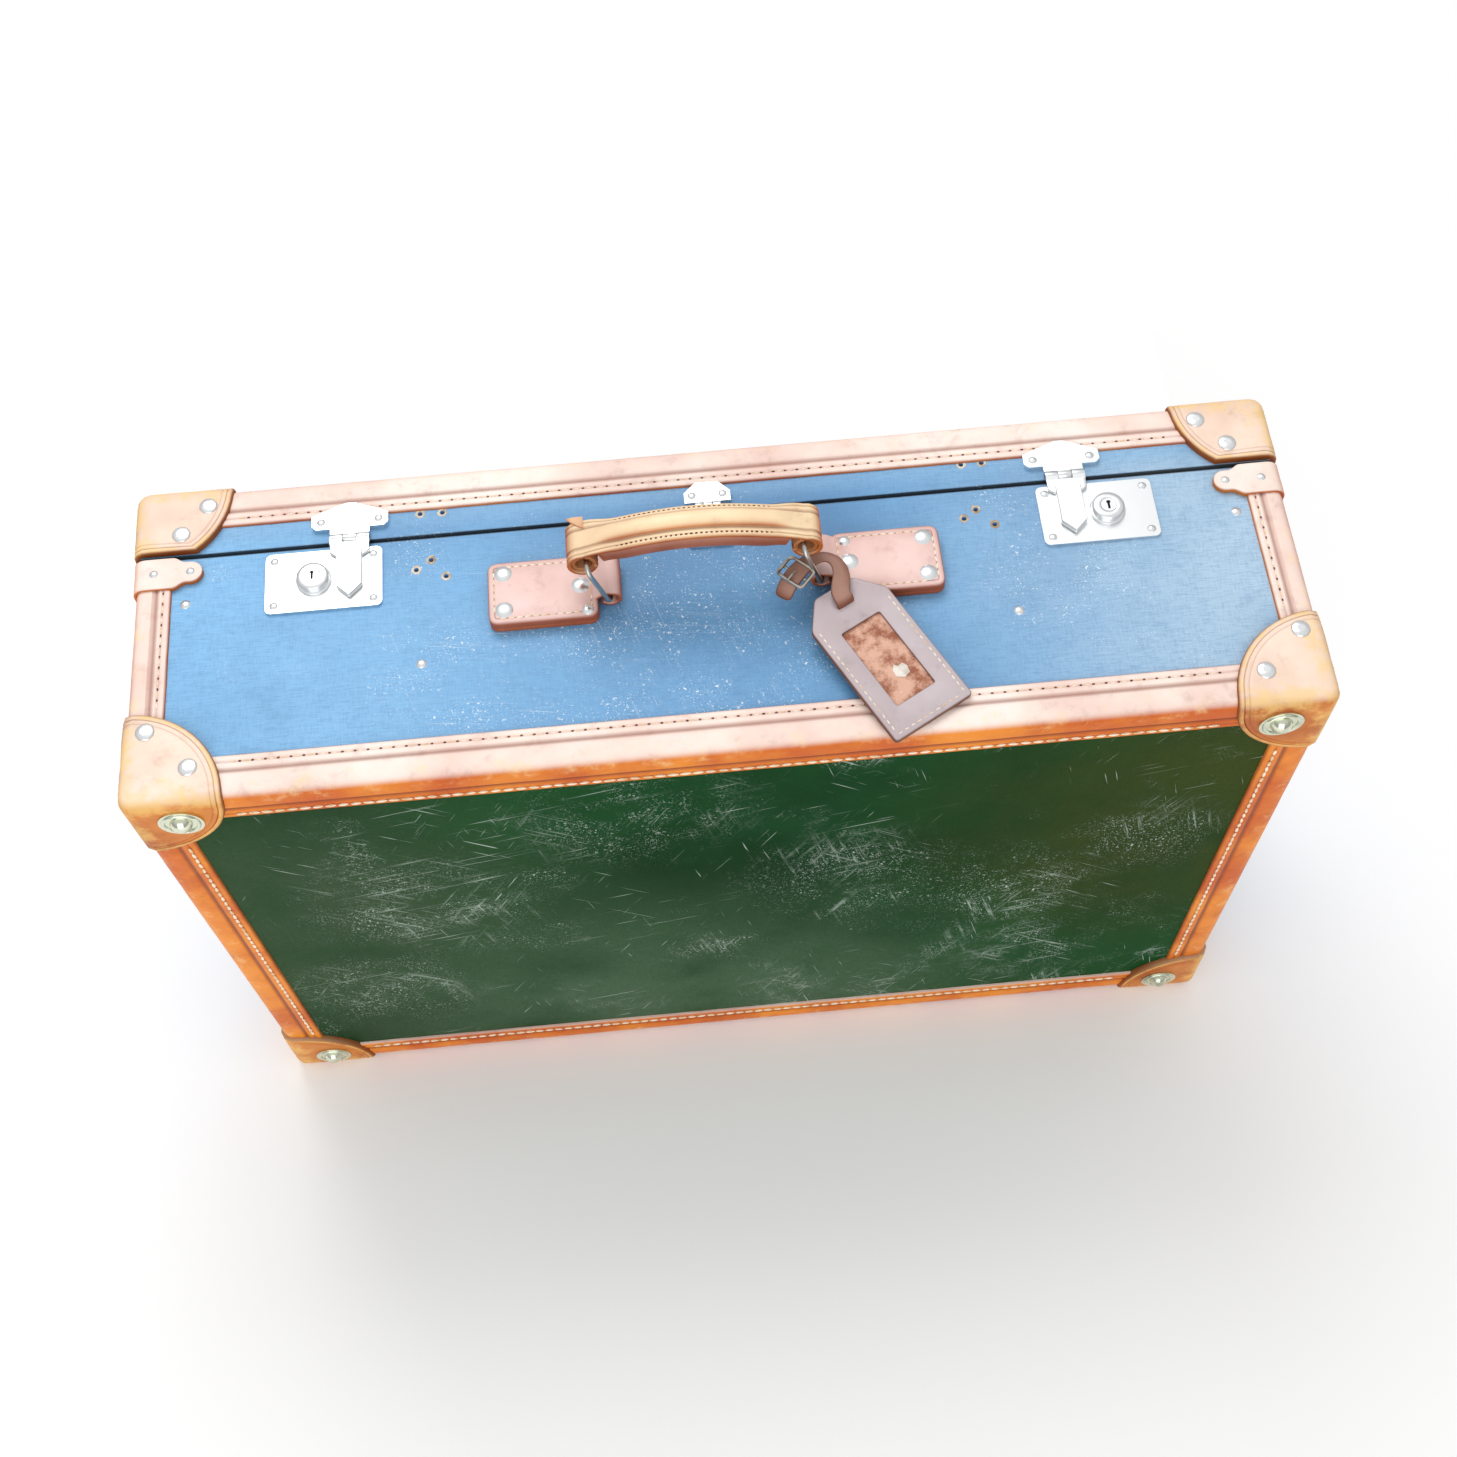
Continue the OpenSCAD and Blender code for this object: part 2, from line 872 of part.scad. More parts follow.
module bolt_left() {
    mirror([1, 0, 0])
        bolt_piece();
}

module bolt_right() {
    bolt_piece();
}

// Key plug that turns in the knob
module plug_piece() {
    color(metal)
        translate([knob_at, plate_y, plate_z + 0.1 + knob_base_h])
            difference() {
                cylinder(h = knob_h - knob_base_h, d = plug_d);
                translate([0, 0, knob_h - knob_base_h])
                    cube([key_slot_w, key_slot_l, 4], center = true);
            }
}

module key_plug_left() {
    mirror([1, 0, 0])
        plug_piece();
}

module key_plug_right() {
    plug_piece();
}

// Places of the three hasps along the seam
module at_hasps() {
    both_sides()
        translate([hasp_at, hasp_pin_y, hasp_pin_z])
            children();
}

module at_catch() {
    translate([0, hasp_pin_y, hasp_pin_z])
        children();
}

// Bracket of a hasp of width w, with its outline and middle knuckle
module bracket(w, points) {
    mid_l = w / 3;
    plate_low = board_z1 - hasp_pin_z;
    difference() {
        union() {
            translate([0, 0, plate_low])
                linear_extrude(bracket_t)
                    polygon(points);
            bar_x(mid_l, 2 * knuckle_r);
            translate([0, knuckle_r, plate_low + bracket_t / 2])
                cube([mid_l, 2 * knuckle_r, bracket_t], center = true);
        }
        bar_x(w + over, hasp_pin_d + 2 * pin_clear);
    }
}

module hasp_brackets() {
    neck = knuckle_r + 0.5;
    half = hasp_w / 2;
    wing = wing_w / 2;
    mid = catch_w / 2;
    color(metal)
        difference() {
            union() {
                at_hasps()
                    bracket(hasp_w, [[-half, neck], [half, neck], [half, wing_low], [wing - wing_cut, wing_low],
                        [wing, wing_low + wing_cut], [wing, wing_high], [peak_w / 2, peak_high],
                        [-peak_w / 2, peak_high], [-wing, wing_high], [-wing, wing_low + wing_cut],
                        [wing_cut - wing, wing_low], [-half, wing_low]]);
                at_catch()
                    bracket(hasp_tongue_w, [[-mid, neck], [mid, neck], [mid, 10], [mid - 7, 17], [7 - mid, 17],
                        [-mid, 10]]);
            }
            lid_panel_binding();
        }
}

module hasp_pins() {
    color(metal) {
        at_hasps()
            bar_x(hasp_w, hasp_pin_d);
        at_catch()
            bar_x(hasp_tongue_w, hasp_pin_d);
    }
}

module bracket_rivets() {
    rivet_z = board_z1 - hasp_pin_z + bracket_t;
    color(metal) {
        at_hasps()
            for (x = [-1, 1])
                translate([x * (wing_w / 2 - 5.5), 12, rivet_z])
                    rivet(small_rivet_d, 1);
        at_catch()
            for (x = [-1, 1])
                translate([x * (catch_w / 2 - 4.5), 8, rivet_z])
                    rivet(small_rivet_d, 1);
    }
}

// Swinging hasp of width w at the pin, narrowing to a pointed tongue
module hasp(w, tongue, l) {
    side_l = w / 3 - run_clear;
    low = plate_z + hasp_gap - hasp_pin_z;
    neck = -l / 4;
    color(metal)
        difference() {
            union() {
                translate([0, 0, low])
                    linear_extrude(hasp_t)
                        polygon([[-w / 2, -knuckle_r - run_clear], [-w / 2, neck], [-tongue / 2, neck - 3],
                            [-tongue / 2, tongue / 2 - l], [0, -l], [tongue / 2, tongue / 2 - l],
                            [tongue / 2, neck - 3], [w / 2, neck], [w / 2, -knuckle_r - run_clear]]);
                for (side = [-1, 1])
                    translate([side * (w - side_l) / 2, 0, 0]) {
                        bar_x(side_l, 2 * knuckle_r);
                        translate([0, -knuckle_r, low + hasp_t / 2])
                            cube([side_l, 2 * knuckle_r, hasp_t], center = true);
                    }
            }
            bar_x(w + over, hasp_pin_d + 2 * pin_clear);
        }
}

module hasp_left() {
    translate([-hasp_at, hasp_pin_y, hasp_pin_z])
        hasp(hasp_w, hasp_tongue_w, hasp_l);
}

module hasp_right() {
    translate([hasp_at, hasp_pin_y, hasp_pin_z])
        hasp(hasp_w, hasp_tongue_w, hasp_l);
}

module catch_hasp() {
    at_catch()
        hasp(hasp_tongue_w, hasp_tongue_w - 4, catch_l);
}

// Plate under the middle catch
module catch_plate() {
    color(metal)
        translate([0, base_rim_y - plate_gap - catch_l / 2, board_z1])
            linear_extrude(plate_t)
                round_rect(catch_w, catch_l, 3);
}

// Leather pads with the rolled loops that hold the rings
module handle_pads() {
    color(leather)
        both_sides()
            difference() {
                union() {
                    translate([pad_x0 + pad_l / 2, (pad_y0 + pad_y1) / 2, board_z1])
                        linear_extrude(pad_t)
                            round_rect(pad_l, pad_w, 5);
                    translate([loop_x, loop_y, loop_z])
                        bar_y(loop_l, loop_d);
                    span([loop_x, pad_x0 + pad_l / 3], [loop_y - loop_l / 2, loop_y + loop_l / 2],
                        [board_z1, pad_z]);
                }
                translate([loop_x, loop_y, loop_z])
                    bar_y(loop_l + over, wire_d + 2 * wire_play);
            }
}

// Rivets of the handle pads
module pad_rivets() {
    pad_x1 = pad_x0 + pad_l;
    color(metal)
        both_sides() {
            for (p = [[pad_x1 - 9, pad_y0 + 9], [pad_x1 - 9, pad_y1 - 8], [pad_x0 + 9.5, pad_y0 + 21]])
                translate([p[0], p[1], pad_z])
                    rivet(pad_rivet_d, rivet_h);
            for (p = [[pad_x0 + 6, pad_y0 + 4.5], [pad_x0 + 8, pad_y1 - 6]])
                translate([p[0], p[1], pad_z])
                    rivet(pad_stud_d, rivet_h - 0.3);
        }
}

// Wire ring from the loop at the origin to the end of the grip
module ring_piece() {
    color(metal)
        rotate([0, -ring_lean, 0]) {
            for (z = [0, ring_l])
                translate([0, 0, z])
                    bar_y(2 * leg_y, wire_d);
            for (y = [-leg_y, leg_y]) {
                translate([0, y, 0])
                    cylinder(h = ring_l, d = wire_d);
                for (z = [0, ring_l])
                    translate([0, y, z])
                        sphere(d = wire_d);
            }
        }
}

module ring_left() {
    translate([-loop_x, loop_y, loop_z])
        ring_piece();
}

module ring_right() {
    translate([loop_x, loop_y, loop_z])
        ring_piece();
}

// Arc of the grip through both eyes, for a section in (radius, width)
module grip_arc(half) {
    translate([eye_dx, loop_y, grip_center_z])
        rotate([90, 0, 0])
            rotate([0, 0, 90 - half])
                rotate_extrude(angle = 2 * half, $fn = 96)
                    children();
}

// Leather cover with stitched flanges and rolled ends
module grip_cover() {
    dome_h = grip_h / 4;
    dome_w = grip_w - 3;
    dome_r = (dome_w * dome_w / 4 + dome_h * dome_h) / (2 * dome_h);
    flange_r = grip_r + grip_h / 6;
    color(leather)
        difference() {
            union() {
                grip_arc(grip_half) {
                    translate([flange_r, -grip_w / 2])
                        square([flange_t, grip_w]);
                    intersection() {
                        translate([flange_r + flange_t + dome_h - dome_r, 0])
                            circle(dome_r);
                        translate([flange_r + flange_t / 2, -grip_w / 2])
                            square([grip_h, grip_w]);
                    }
                }
                for (x = [-loop_x, loop_x])
                    translate([x + eye_dx, loop_y, eye_z])
                        bar_y(eye_l, eye_d);
            }
            for (x = [-loop_x, loop_x])
                translate([x + eye_dx, loop_y, eye_z])
                    bar_y(eye_l + over, wire_d + 2 * wire_play);
        }
}

// Padded core under the cover
module grip_core() {
    core_r = grip_w / 2 - 2;
    core_top = grip_r + grip_h / 6;
    color(dark_leather)
        grip_arc(grip_half - eye_half) {
            translate([core_top - grip_h / 3, -core_r])
                square([grip_h / 3, 2 * core_r]);
            intersection() {
                translate([core_top - grip_h / 3, 0])
                    circle(core_r);
                translate([core_top - grip_h * 0.64, -core_r])
                    square([grip_h * 0.64, 2 * core_r]);
            }
        }
}

// Frame of the tag: origin at the middle of its top end, length towards -Y
module at_tag() {
    translate([tag_at[0], tag_at[1], tag_z])
        rotate([0, 0, tag_turn])
            rotate([tag_slope, 0, 0])
                children();
}

module tag_outline() {
    w = tag_w / 2;
    top = tag_top_w / 2;
    difference() {
        polygon([[-w, -tag_l], [w, -tag_l], [w, -tag_shoulder], [top, 0], [-top, 0], [-w, -tag_shoulder]]);
        translate([0, -slot_at])
            square([strap_w + 1, strap_t + 1.4], center = true);
    }
}

// Two leather layers, the upper one with a window
module tag_leather() {
    color(dark_leather)
        at_tag()
            difference() {
                linear_extrude(2 * tag_t)
                    tag_outline();
                translate([0, -window_at - window_l / 2, 2 * tag_t])
                    cube([window_w, window_l, 2 * tag_t], center = true);
            }
}

module tag_card() {
    color("peru")
        at_tag()
            translate([0, -window_at - window_l / 2, tag_t + card_t / 2])
                cube([window_w - 0.2, window_l - 0.2, card_t], center = true);
}

// Strap: a band round the ring wire, a tongue over the tag and its end through the slot
module tag_strap() {
    run = tag_reach + slot_at + strap_t / 2;
    color(dark_leather)
        translate([loop_x, pivot_y, band_z])
            difference() {
                union() {
                    cylinder(h = strap_w, r = band_r + strap_t);
                    rotate([0, 0, tag_turn]) {
                        span([-strap_w / 2, strap_w / 2], [-run, -band_r], [0, strap_t]);
                        span([-strap_w / 2, strap_w / 2], [-run, strap_t - run],
                            [-2 * tag_t - 3 * strap_t, strap_t]);
                    }
                }
                translate([0, 0, -over])
                    cylinder(h = strap_w + 2 * over, r = band_r);
            }
}

// Wire buckle beside the band, with its prong
module tag_buckle() {
    color(metal)
        translate([loop_x - band_r - strap_t - buckle_wire / 2 - 0.2, pivot_y, band_z + strap_w / 2]) {
            for (x = [0, -buckle_w])
                translate([x, 0, 0])
                    bar_y(buckle_l, buckle_wire);
            for (y = [-1, 1])
                translate([-buckle_w / 2, y * buckle_l / 2, 0])
                    bar_x(buckle_w, buckle_wire);
            for (x = [0, -buckle_w], y = [-1, 1])
                translate([x, y * buckle_l / 2, 0])
                    sphere(d = buckle_wire);
            translate([-buckle_w / 2, 0, 0])
                bar_x(buckle_w, prong_d);
        }
}

base_panel();
base_handle_wall();
base_hinge_wall();
base_left_wall();
base_right_wall();
base_rim();
base_lining();
base_panel_binding();
base_side_bindings();
base_cap_top_left();
base_cap_top_right();
base_cap_bottom_left();
base_cap_bottom_right();
base_cap_rivets();
base_feet();
wall_studs();
seam_tabs();
seam_tab_rivets();
lid_panel();
lid_handle_wall();
lid_hinge_wall();
lid_left_wall();
lid_right_wall();
lid_lining();
lid_panel_binding();
lid_cap_top_left();
lid_cap_top_right();
lid_cap_bottom_left();
lid_cap_bottom_right();
lid_cap_rivets();
hinge_base_leaves();
hinge_lid_leaves();
hinge_pins();
lock_plates();
lock_plate_rivets();
lock_boxes();
lock_springs();
knob_left();
knob_right();
bolt_left();
bolt_right();
key_plug_left();
key_plug_right();
hasp_brackets();
hasp_pins();
bracket_rivets();
hasp_left();
hasp_right();
catch_hasp();
catch_plate();
handle_pads();
pad_rivets();
ring_left();
ring_right();
grip_cover();
grip_core();
tag_leather();
tag_card();
tag_strap();
tag_buckle();
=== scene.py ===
"""Looks of a leather-bound suitcase: covered boards, stitched bindings, moulded caps, handle and tag."""

import json
import math
import random

import bmesh
import bpy
from mathutils import Matrix, Vector, noise


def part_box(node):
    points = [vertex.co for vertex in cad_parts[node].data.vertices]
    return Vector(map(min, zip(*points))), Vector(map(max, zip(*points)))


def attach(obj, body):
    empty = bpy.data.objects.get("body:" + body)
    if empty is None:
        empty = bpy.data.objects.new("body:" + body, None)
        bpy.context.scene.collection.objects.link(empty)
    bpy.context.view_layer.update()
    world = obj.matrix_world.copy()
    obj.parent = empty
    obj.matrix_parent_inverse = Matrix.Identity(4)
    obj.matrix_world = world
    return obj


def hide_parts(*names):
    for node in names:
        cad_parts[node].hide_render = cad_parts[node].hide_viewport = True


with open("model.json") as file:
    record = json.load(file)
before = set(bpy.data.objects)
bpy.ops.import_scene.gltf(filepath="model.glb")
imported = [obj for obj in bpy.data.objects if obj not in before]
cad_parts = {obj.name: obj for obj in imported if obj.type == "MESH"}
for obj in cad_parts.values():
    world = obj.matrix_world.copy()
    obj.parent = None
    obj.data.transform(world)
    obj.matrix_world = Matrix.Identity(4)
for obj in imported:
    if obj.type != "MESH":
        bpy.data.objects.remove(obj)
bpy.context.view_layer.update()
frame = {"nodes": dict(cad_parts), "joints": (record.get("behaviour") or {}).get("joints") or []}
MM = 0.001
X, Y, Z = Vector((1, 0, 0)), Vector((0, 1, 0)), Vector((0, 0, 1))

# Planes of the case, from the frame
BIND_LO, BIND_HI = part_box("base_panel_binding")
HALF_W, LOW_Z, TOP_Z = BIND_HI.x, BIND_LO.z, BIND_HI.z
FRONT_Y, BACK_Y = BIND_LO.y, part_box("lid_panel_binding")[1].y
BASE_RIM_Y, LID_RIM_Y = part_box("base_handle_wall")[1].y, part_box("lid_handle_wall")[0].y
SEAM_Y = (BASE_RIM_Y + LID_RIM_Y) / 2
BOARD_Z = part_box("handle_pads")[0].z
PLATE_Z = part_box("lock_plates")[1].z
ENDS = (("left", -1), ("right", 1))

# Leather work
BIND_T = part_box("base_panel")[0].y - FRONT_Y
BIND_W, SIDE_W = BIND_HI.y - BIND_LO.y, 21 * MM
BIND_R, BIND_UNDER_CAP = 6 * MM, 12 * MM
BEND_STEPS = 8
CAP_T = LOW_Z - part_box("base_cap_bottom_left")[0].z
CAP_REACH = 55 * MM
CAP_STEPS = 16
TAB_L, TAB_W, TAB_T, TONGUE_R = 41 * MM, 21 * MM, 2 * MM, 7 * MM
GROOVE, STITCH_LINE = 16 * MM, 21.3 * MM
SIDE_GROOVE, SIDE_STITCH_LINE = 12.6 * MM, 16.6 * MM
STRIP_STEP = 6 * MM

# Sewing: (pitch, length, radius) of the stitches, and the size of an awl hole
PANEL_SEWING = (7 * MM, 6.2 * MM, 1.0 * MM)
WALL_SEWING = (7 * MM, 3.4 * MM, 0.4 * MM)
SIDE_SEWING = (7 * MM, 3.2 * MM, 0.45 * MM)
PAD_SEWING = (4.6 * MM, 3.6 * MM, 0.5 * MM)
TAG_SEWING = (4.2 * MM, 2.8 * MM, 0.42 * MM)
AWL_L, AWL_R = 1.8 * MM, 0.6 * MM

# Handle and tag, from the joints
JOINTS = {joint["name"]: joint for joint in frame["joints"]}
LOOP, EYE, TAG_PIVOT = (Vector(JOINTS[name]["pos_m"]) for name in ("ring_right_rock", "grip_level", "tag_swing"))
PAD_LO, PAD_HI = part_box("handle_pads")
PAD_W, PAD_X0, PAD_T = PAD_HI.y - PAD_LO.y, LOOP.x + 7 * MM, 9 * MM
LOOP_R, LOOP_L = 6.5 * MM, 28 * MM
EYE_R, EYE_L = 7.5 * MM, 24 * MM
WIRE_R = 1.5 * MM
GRIP_RISE, GRIP_W, GRIP_H = 12 * MM, 20 * MM, 18 * MM
TAG_L, TAG_W, TAG_T = 95 * MM, 52 * MM, 4 * MM
TAG_TURN, TAG_SLOPE, TAG_REACH = math.radians(29.5), math.radians(5.5), 9 * MM
WINDOW_W, WINDOW_L, WINDOW_AT = 26 * MM, 52 * MM, 26 * MM
STRAP_T, STRAP_W = 2 * MM, 11 * MM

rng = random.Random(26)


def srgb(r, g, b):
    """Linear colour of an 8-bit display colour."""
    levels = [c / 255 for c in (r, g, b)]
    return tuple(c / 12.92 if c <= 0.04045 else ((c + 0.055) / 1.055) ** 2.4 for c in levels) + (1.0,)


class Sock:
    """A socket of a finish; arithmetic on it adds Math nodes."""

    def __init__(self, finish, socket):
        self.finish, self.socket = finish, socket

    def math(self, operation, *values):
        return self.finish.add("ShaderNodeMath", {"operation": operation}, dict(enumerate(values)))

    def __add__(self, other):
        return self.math("ADD", self, other)

    def __sub__(self, other):
        return self.math("SUBTRACT", self, other)

    def __rsub__(self, other):
        return self.math("SUBTRACT", other, self)

    def __mul__(self, other):
        return self.math("MULTIPLY", self, other)

    __radd__, __rmul__ = __add__, __mul__

    def most(self, other):
        return self.math("MAXIMUM", self, other)

    def size(self):
        return self.math("ABSOLUTE", self)

    def between(self, low, high):
        """0 below low, 1 above high, smooth in between."""
        return self.finish.add("ShaderNodeMapRange", {"interpolation_type": "SMOOTHSTEP"},
                               {"Value": self, "From Min": low, "From Max": high})


class Finish:
    """The nodes round one shader of a material or a sky, added one by one."""

    def __init__(self, owner, shader="Principled BSDF", coordinates="Object"):
        owner.use_nodes = True
        self.owner, self.tree = owner, owner.node_tree
        self.shader = self.tree.nodes[shader]
        self.place = self.add("ShaderNodeTexCoord", out=coordinates)

    def add(self, kind, settings=None, sockets=None, out=0):
        node = self.tree.nodes.new(kind)
        for key, value in (settings or {}).items():
            setattr(node, key, value)
        for key, value in (sockets or {}).items():
            self.feed(node.inputs[key], value)
        return Sock(self, node.outputs[out])

    def feed(self, socket, value):
        if isinstance(value, Sock):
            self.tree.links.new(value.socket, socket)
        else:
            socket.default_value = value

    def set(self, **sockets):
        for key, value in sockets.items():
            self.feed(self.shader.inputs[key.replace("_", " ")], value)
        return self

    def noise(self, scale, detail=3.0, rough=0.55, place=None, distortion=0.0):
        return self.add("ShaderNodeTexNoise", sockets={
            "Vector": place or self.place, "Scale": scale, "Detail": detail, "Roughness": rough,
            "Distortion": distortion})

    def cells(self, scale):
        return self.add("ShaderNodeTexVoronoi", sockets={"Vector": self.place, "Scale": scale})

    def turned(self, angles, stretch):
        """Coordinates turned by the angles in degrees, then stretched."""
        turn = [math.radians(a) for a in angles]
        place = self.add("ShaderNodeMapping", sockets={"Vector": self.place, "Rotation": turn})
        return self.add("ShaderNodeMapping", sockets={"Vector": place, "Scale": stretch})

    def waves(self, place, scale, settings=None, distortion=0.0):
        return self.add("ShaderNodeTexWave", settings, {"Vector": place, "Scale": scale, "Distortion": distortion})

    def along(self, axis):
        return self.add("ShaderNodeSeparateXYZ", sockets={0: self.place}, out=axis)

    def near(self, point, inner, outer):
        """1 within the inner distance of a point, 0 beyond the outer one."""
        gap = self.add("ShaderNodeVectorMath", {"operation": "DISTANCE"}, {0: self.place, 1: point}, out="Value")
        return 1 - gap.between(inner, outer)

    def mix(self, factor, *tones):
        """From the first tone to the second; a tone is a socket or an 8-bit display colour."""
        a, b = (tone if isinstance(tone, Sock) else srgb(*tone) for tone in tones)
        return self.add("ShaderNodeMix", {"data_type": "RGBA"}, {0: factor, 6: a, 7: b}, out=2)

    def attribute(self, name):
        return self.add("ShaderNodeAttribute", {"attribute_name": name}, out="Fac")

    def scratches(self, angles, length, width, amount):
        """Thin marks along the turned X axis."""
        lines = self.noise(1.0, 2.0, 0.5, self.turned(angles, (1 / length, 1 / width, 1 / width)), 0.4)
        return lines.between(1 - amount, 1 - amount + 0.05)

    def bump(self, height, distance, strength=0.6):
        sockets = {"Height": height, "Distance": distance, "Strength": strength}
        self.set(Normal=self.add("ShaderNodeBump", sockets=sockets))


def coated_cloth(name, deep, light, chalk, marks, patches, sheen_patches, specular, smears, rim=None):
    """Painted cloth on board: woven grain, painted sheen in patches, chalky specks, smears and scratches, and
    painted shadow along the seam.
    """
    f = Finish(bpy.data.materials.new(name))
    cloud, weave, fine = f.noise(5, 4), f.cells(620), f.noise(1400, 2)
    threads = f.noise(1.0, 3, 0.6, f.turned((0, 0, 0), (150, 1500, 1500)))
    cross = f.noise(1.0, 2, 0.6, f.turned((0, 0, 0), (1500, 170, 170)))
    grain = threads * 0.65 + cross * 0.35
    tone = f.mix(cloud.between(0.3, 0.7), deep, light)
    # Painted sheen: lighter patches round given places
    for place, inner, outer, painted_light_tone in sheen_patches:
        tone = f.mix(f.near(place, inner, outer) * f.noise(9, 4).between(0.1, 0.6), tone, painted_light_tone)
    if rim:
        seam_y, lid_tone, seam_shadow_tone = rim
        across = f.along("Y") - seam_y
        tone = f.mix(across.between(2 * MM, 16 * MM) * 0.6, tone, lid_tone)
    tone = f.mix(grain.between(0.3, 0.6) * 0.4 + 0.6, deep, tone)
    if rim:
        # Painted shadow of the seam gap: a dark band on both sides of the seam
        seam_shadow = 1 - across.size().between(0.9 * MM, 2.3 * MM)
        tone = f.mix(seam_shadow * 0.96, tone, seam_shadow_tone)
    worn = f.noise(13, 5, 0.62).between(0.54, 0.72)
    for point, inner, outer in patches:
        worn = worn.most(f.near(point, inner, outer) * f.noise(34, 4, 0.6).between(0.36, 0.62))
    specks = f.noise(430, 2, 0.6).between(0.64, 0.69).most(f.noise(950, 2, 0.6).between(0.61, 0.67) * 0.8)
    chalky, lines = specks * worn, None
    for angles, length, width, amount in marks:
        where = f.noise(9 + 0.02 * angles[2], 2).between(0.5, 0.58)
        line = f.scratches(angles, length, width, amount) * where
        lines = line if lines is None else lines.most(line)
        smear = f.noise(1.0, 5, 0.72, f.turned(angles, (0.7 / length, 0.4 / width, 0.4 / width)), 0.3)
        chalky = chalky.most(smear.between(0.54, 0.7) * where * worn * smears)
    chalky = chalky.most(lines * 0.75)
    f.set(Base_Color=f.mix(chalky, tone, chalk), Roughness=0.45 + chalky * 0.3 + (cloud - 0.5) * 0.2,
          Specular_IOR_Level=specular)
    f.bump(weave * 0.4 + grain * 0.7 + fine * 0.3 + lines * 0.5 + cloud * 0.6, 0.25 * MM, 0.55)
    return f.owner


def hide(name, dark, mid, pale, painted_light_tone, worn, coat=0.15, rubs=0.12):
    """Tanned leather: mottled, painted lighter where it faces up, with painted shade in creases, scuffed where
    rubbed, with pores.
    """
    f = Finish(bpy.data.materials.new(name))
    broad, mottle = f.noise(14, 4, 0.6), f.noise(85, 6, 0.65)
    pores, wrinkle = f.cells(950), f.noise(260, 4, 0.6, distortion=0.8)
    crease_shade, rub, painted_top_light = (f.attribute(layer) for layer in ("crease_shade", "rub", "painted_top_light"))
    tone = f.mix(broad.between(0.34, 0.66), mid, pale)
    # Painted top light: upward faces turn towards the pale painted-light tone
    tone = f.mix(painted_top_light * (0.86 + (broad - 0.5) * 0.9), tone, painted_light_tone)
    tone = f.mix(mottle.between(0.52, 0.76) * 0.22, tone, dark)
    tone = f.mix(f.noise(33, 5, 0.7).between(0.6, 0.8) * 0.2, tone, dark)
    scuff = (rub * rubs + f.noise(70, 7, 0.7) * 0.66).between(0.42, 0.6)
    nick = f.scratches((0, 0, 24), 30 * MM, 0.9 * MM, 0.27)
    nick = nick.most(f.scratches((90, 30, 70), 22 * MM, 0.8 * MM, 0.27))
    tone = f.mix((scuff * 0.6).most(nick * 0.5), tone, worn)
    # Painted shade in grooves, creases and along edges, less on upward faces
    tone = f.mix(crease_shade * (0.9 - 0.25 * painted_top_light), tone, dark)
    f.set(Base_Color=tone, Roughness=0.46 + (mottle - 0.5) * 0.3 + scuff * 0.2,
          Coat_Weight=coat * (1 - scuff), Coat_Roughness=0.35, Specular_IOR_Level=0.25)
    f.bump(pores * 0.35 + wrinkle * 0.8 - nick * 0.6 - scuff * 0.4, 0.3 * MM, 0.5)
    return f.owner


def plated(name, tone, tarnish_and_reflection, rough, green=0.0):
    """Dull nickel or steel: cloudy polish, hairline scratches and tarnish in spots."""
    f = Finish(bpy.data.materials.new(name))
    cloud, spot = f.noise(22, 3, 0.5), f.noise(210, 2, 0.5)
    hair = f.scratches((0, 0, 15), 18 * MM, 0.35 * MM, 0.34)
    hair = hair.most(f.scratches((0, 0, 105), 15 * MM, 0.35 * MM, 0.34))
    dull = (cloud * 0.8 + spot * 0.25).between(0.5, 0.8)
    # Spots take the darker tone: real tarnish, and on the feet a green painted grass reflection
    f.set(Base_Color=f.mix(dull * (0.55 + green), tone, tarnish_and_reflection), Metallic=1.0 - dull * 0.15,
          Roughness=rough + dull * 0.2 + hair * 0.06)
    f.bump(cloud * 0.6 - hair * 0.2, 0.1 * MM, 0.05)
    return f.owner


def linen_thread(name, tone, soiled):
    """Waxed sewing thread, soiled in places and twisted."""
    f = Finish(bpy.data.materials.new(name))
    dirt = f.noise(120, 4).between(0.42, 0.7)
    f.set(Base_Color=f.mix(dirt, tone, soiled), Roughness=0.75 + dirt * 0.15)
    f.bump(f.waves(f.turned((20, 35, 40), (1, 1, 1)), 320), 0.12 * MM, 0.6)
    return f.owner


def torn_card(name, tone, dark, fuzz):
    """Fibrous card, board or paper, blotched and torn."""
    f = Finish(bpy.data.materials.new(name))
    fibre, blot = f.noise(700, 5, 0.7), f.noise(90, 6, 0.68)
    tone = f.mix(blot.between(0.4, 0.62), tone, dark)
    f.set(Base_Color=f.mix(fibre.between(0.56, 0.74) * 0.7, tone, fuzz), Roughness=0.92)
    f.bump(fibre + blot, 0.5 * MM, 0.8)
    return f.owner


def plain_weave(name, tone, shade, pitch):
    """Woven cotton: warp and weft threads with slubs."""
    f = Finish(bpy.data.materials.new(name))
    slub = f.noise(45, 4)
    warp, weft = (f.waves(f.place, 0.32 / pitch, {"bands_direction": way}, 0.6) for way in "XZ")
    thread = warp * 0.5 + weft * 0.5
    f.set(Base_Color=f.mix((thread * 0.6 + slub * 0.4).between(0.25, 0.8), shade, tone), Roughness=0.88)
    f.bump(thread, 0.2 * MM, 0.5)
    return f.owner


def bare_wood(name, tone, grain):
    """Thin sawn wood with long grain."""
    f = Finish(bpy.data.materials.new(name))
    rings = f.noise(1.0, 5, 0.6, f.turned((0, 0, 0), (9, 240, 240)), 0.6)
    pores = f.noise(1.0, 2, 0.5, f.turned((0, 0, 0), (60, 1500, 1500)))
    f.set(Base_Color=f.mix(rings.between(0.35, 0.7), tone, grain), Roughness=0.62 + pores * 0.2)
    f.bump(rings + pores * 0.5, 0.2 * MM, 0.4)
    return f.owner
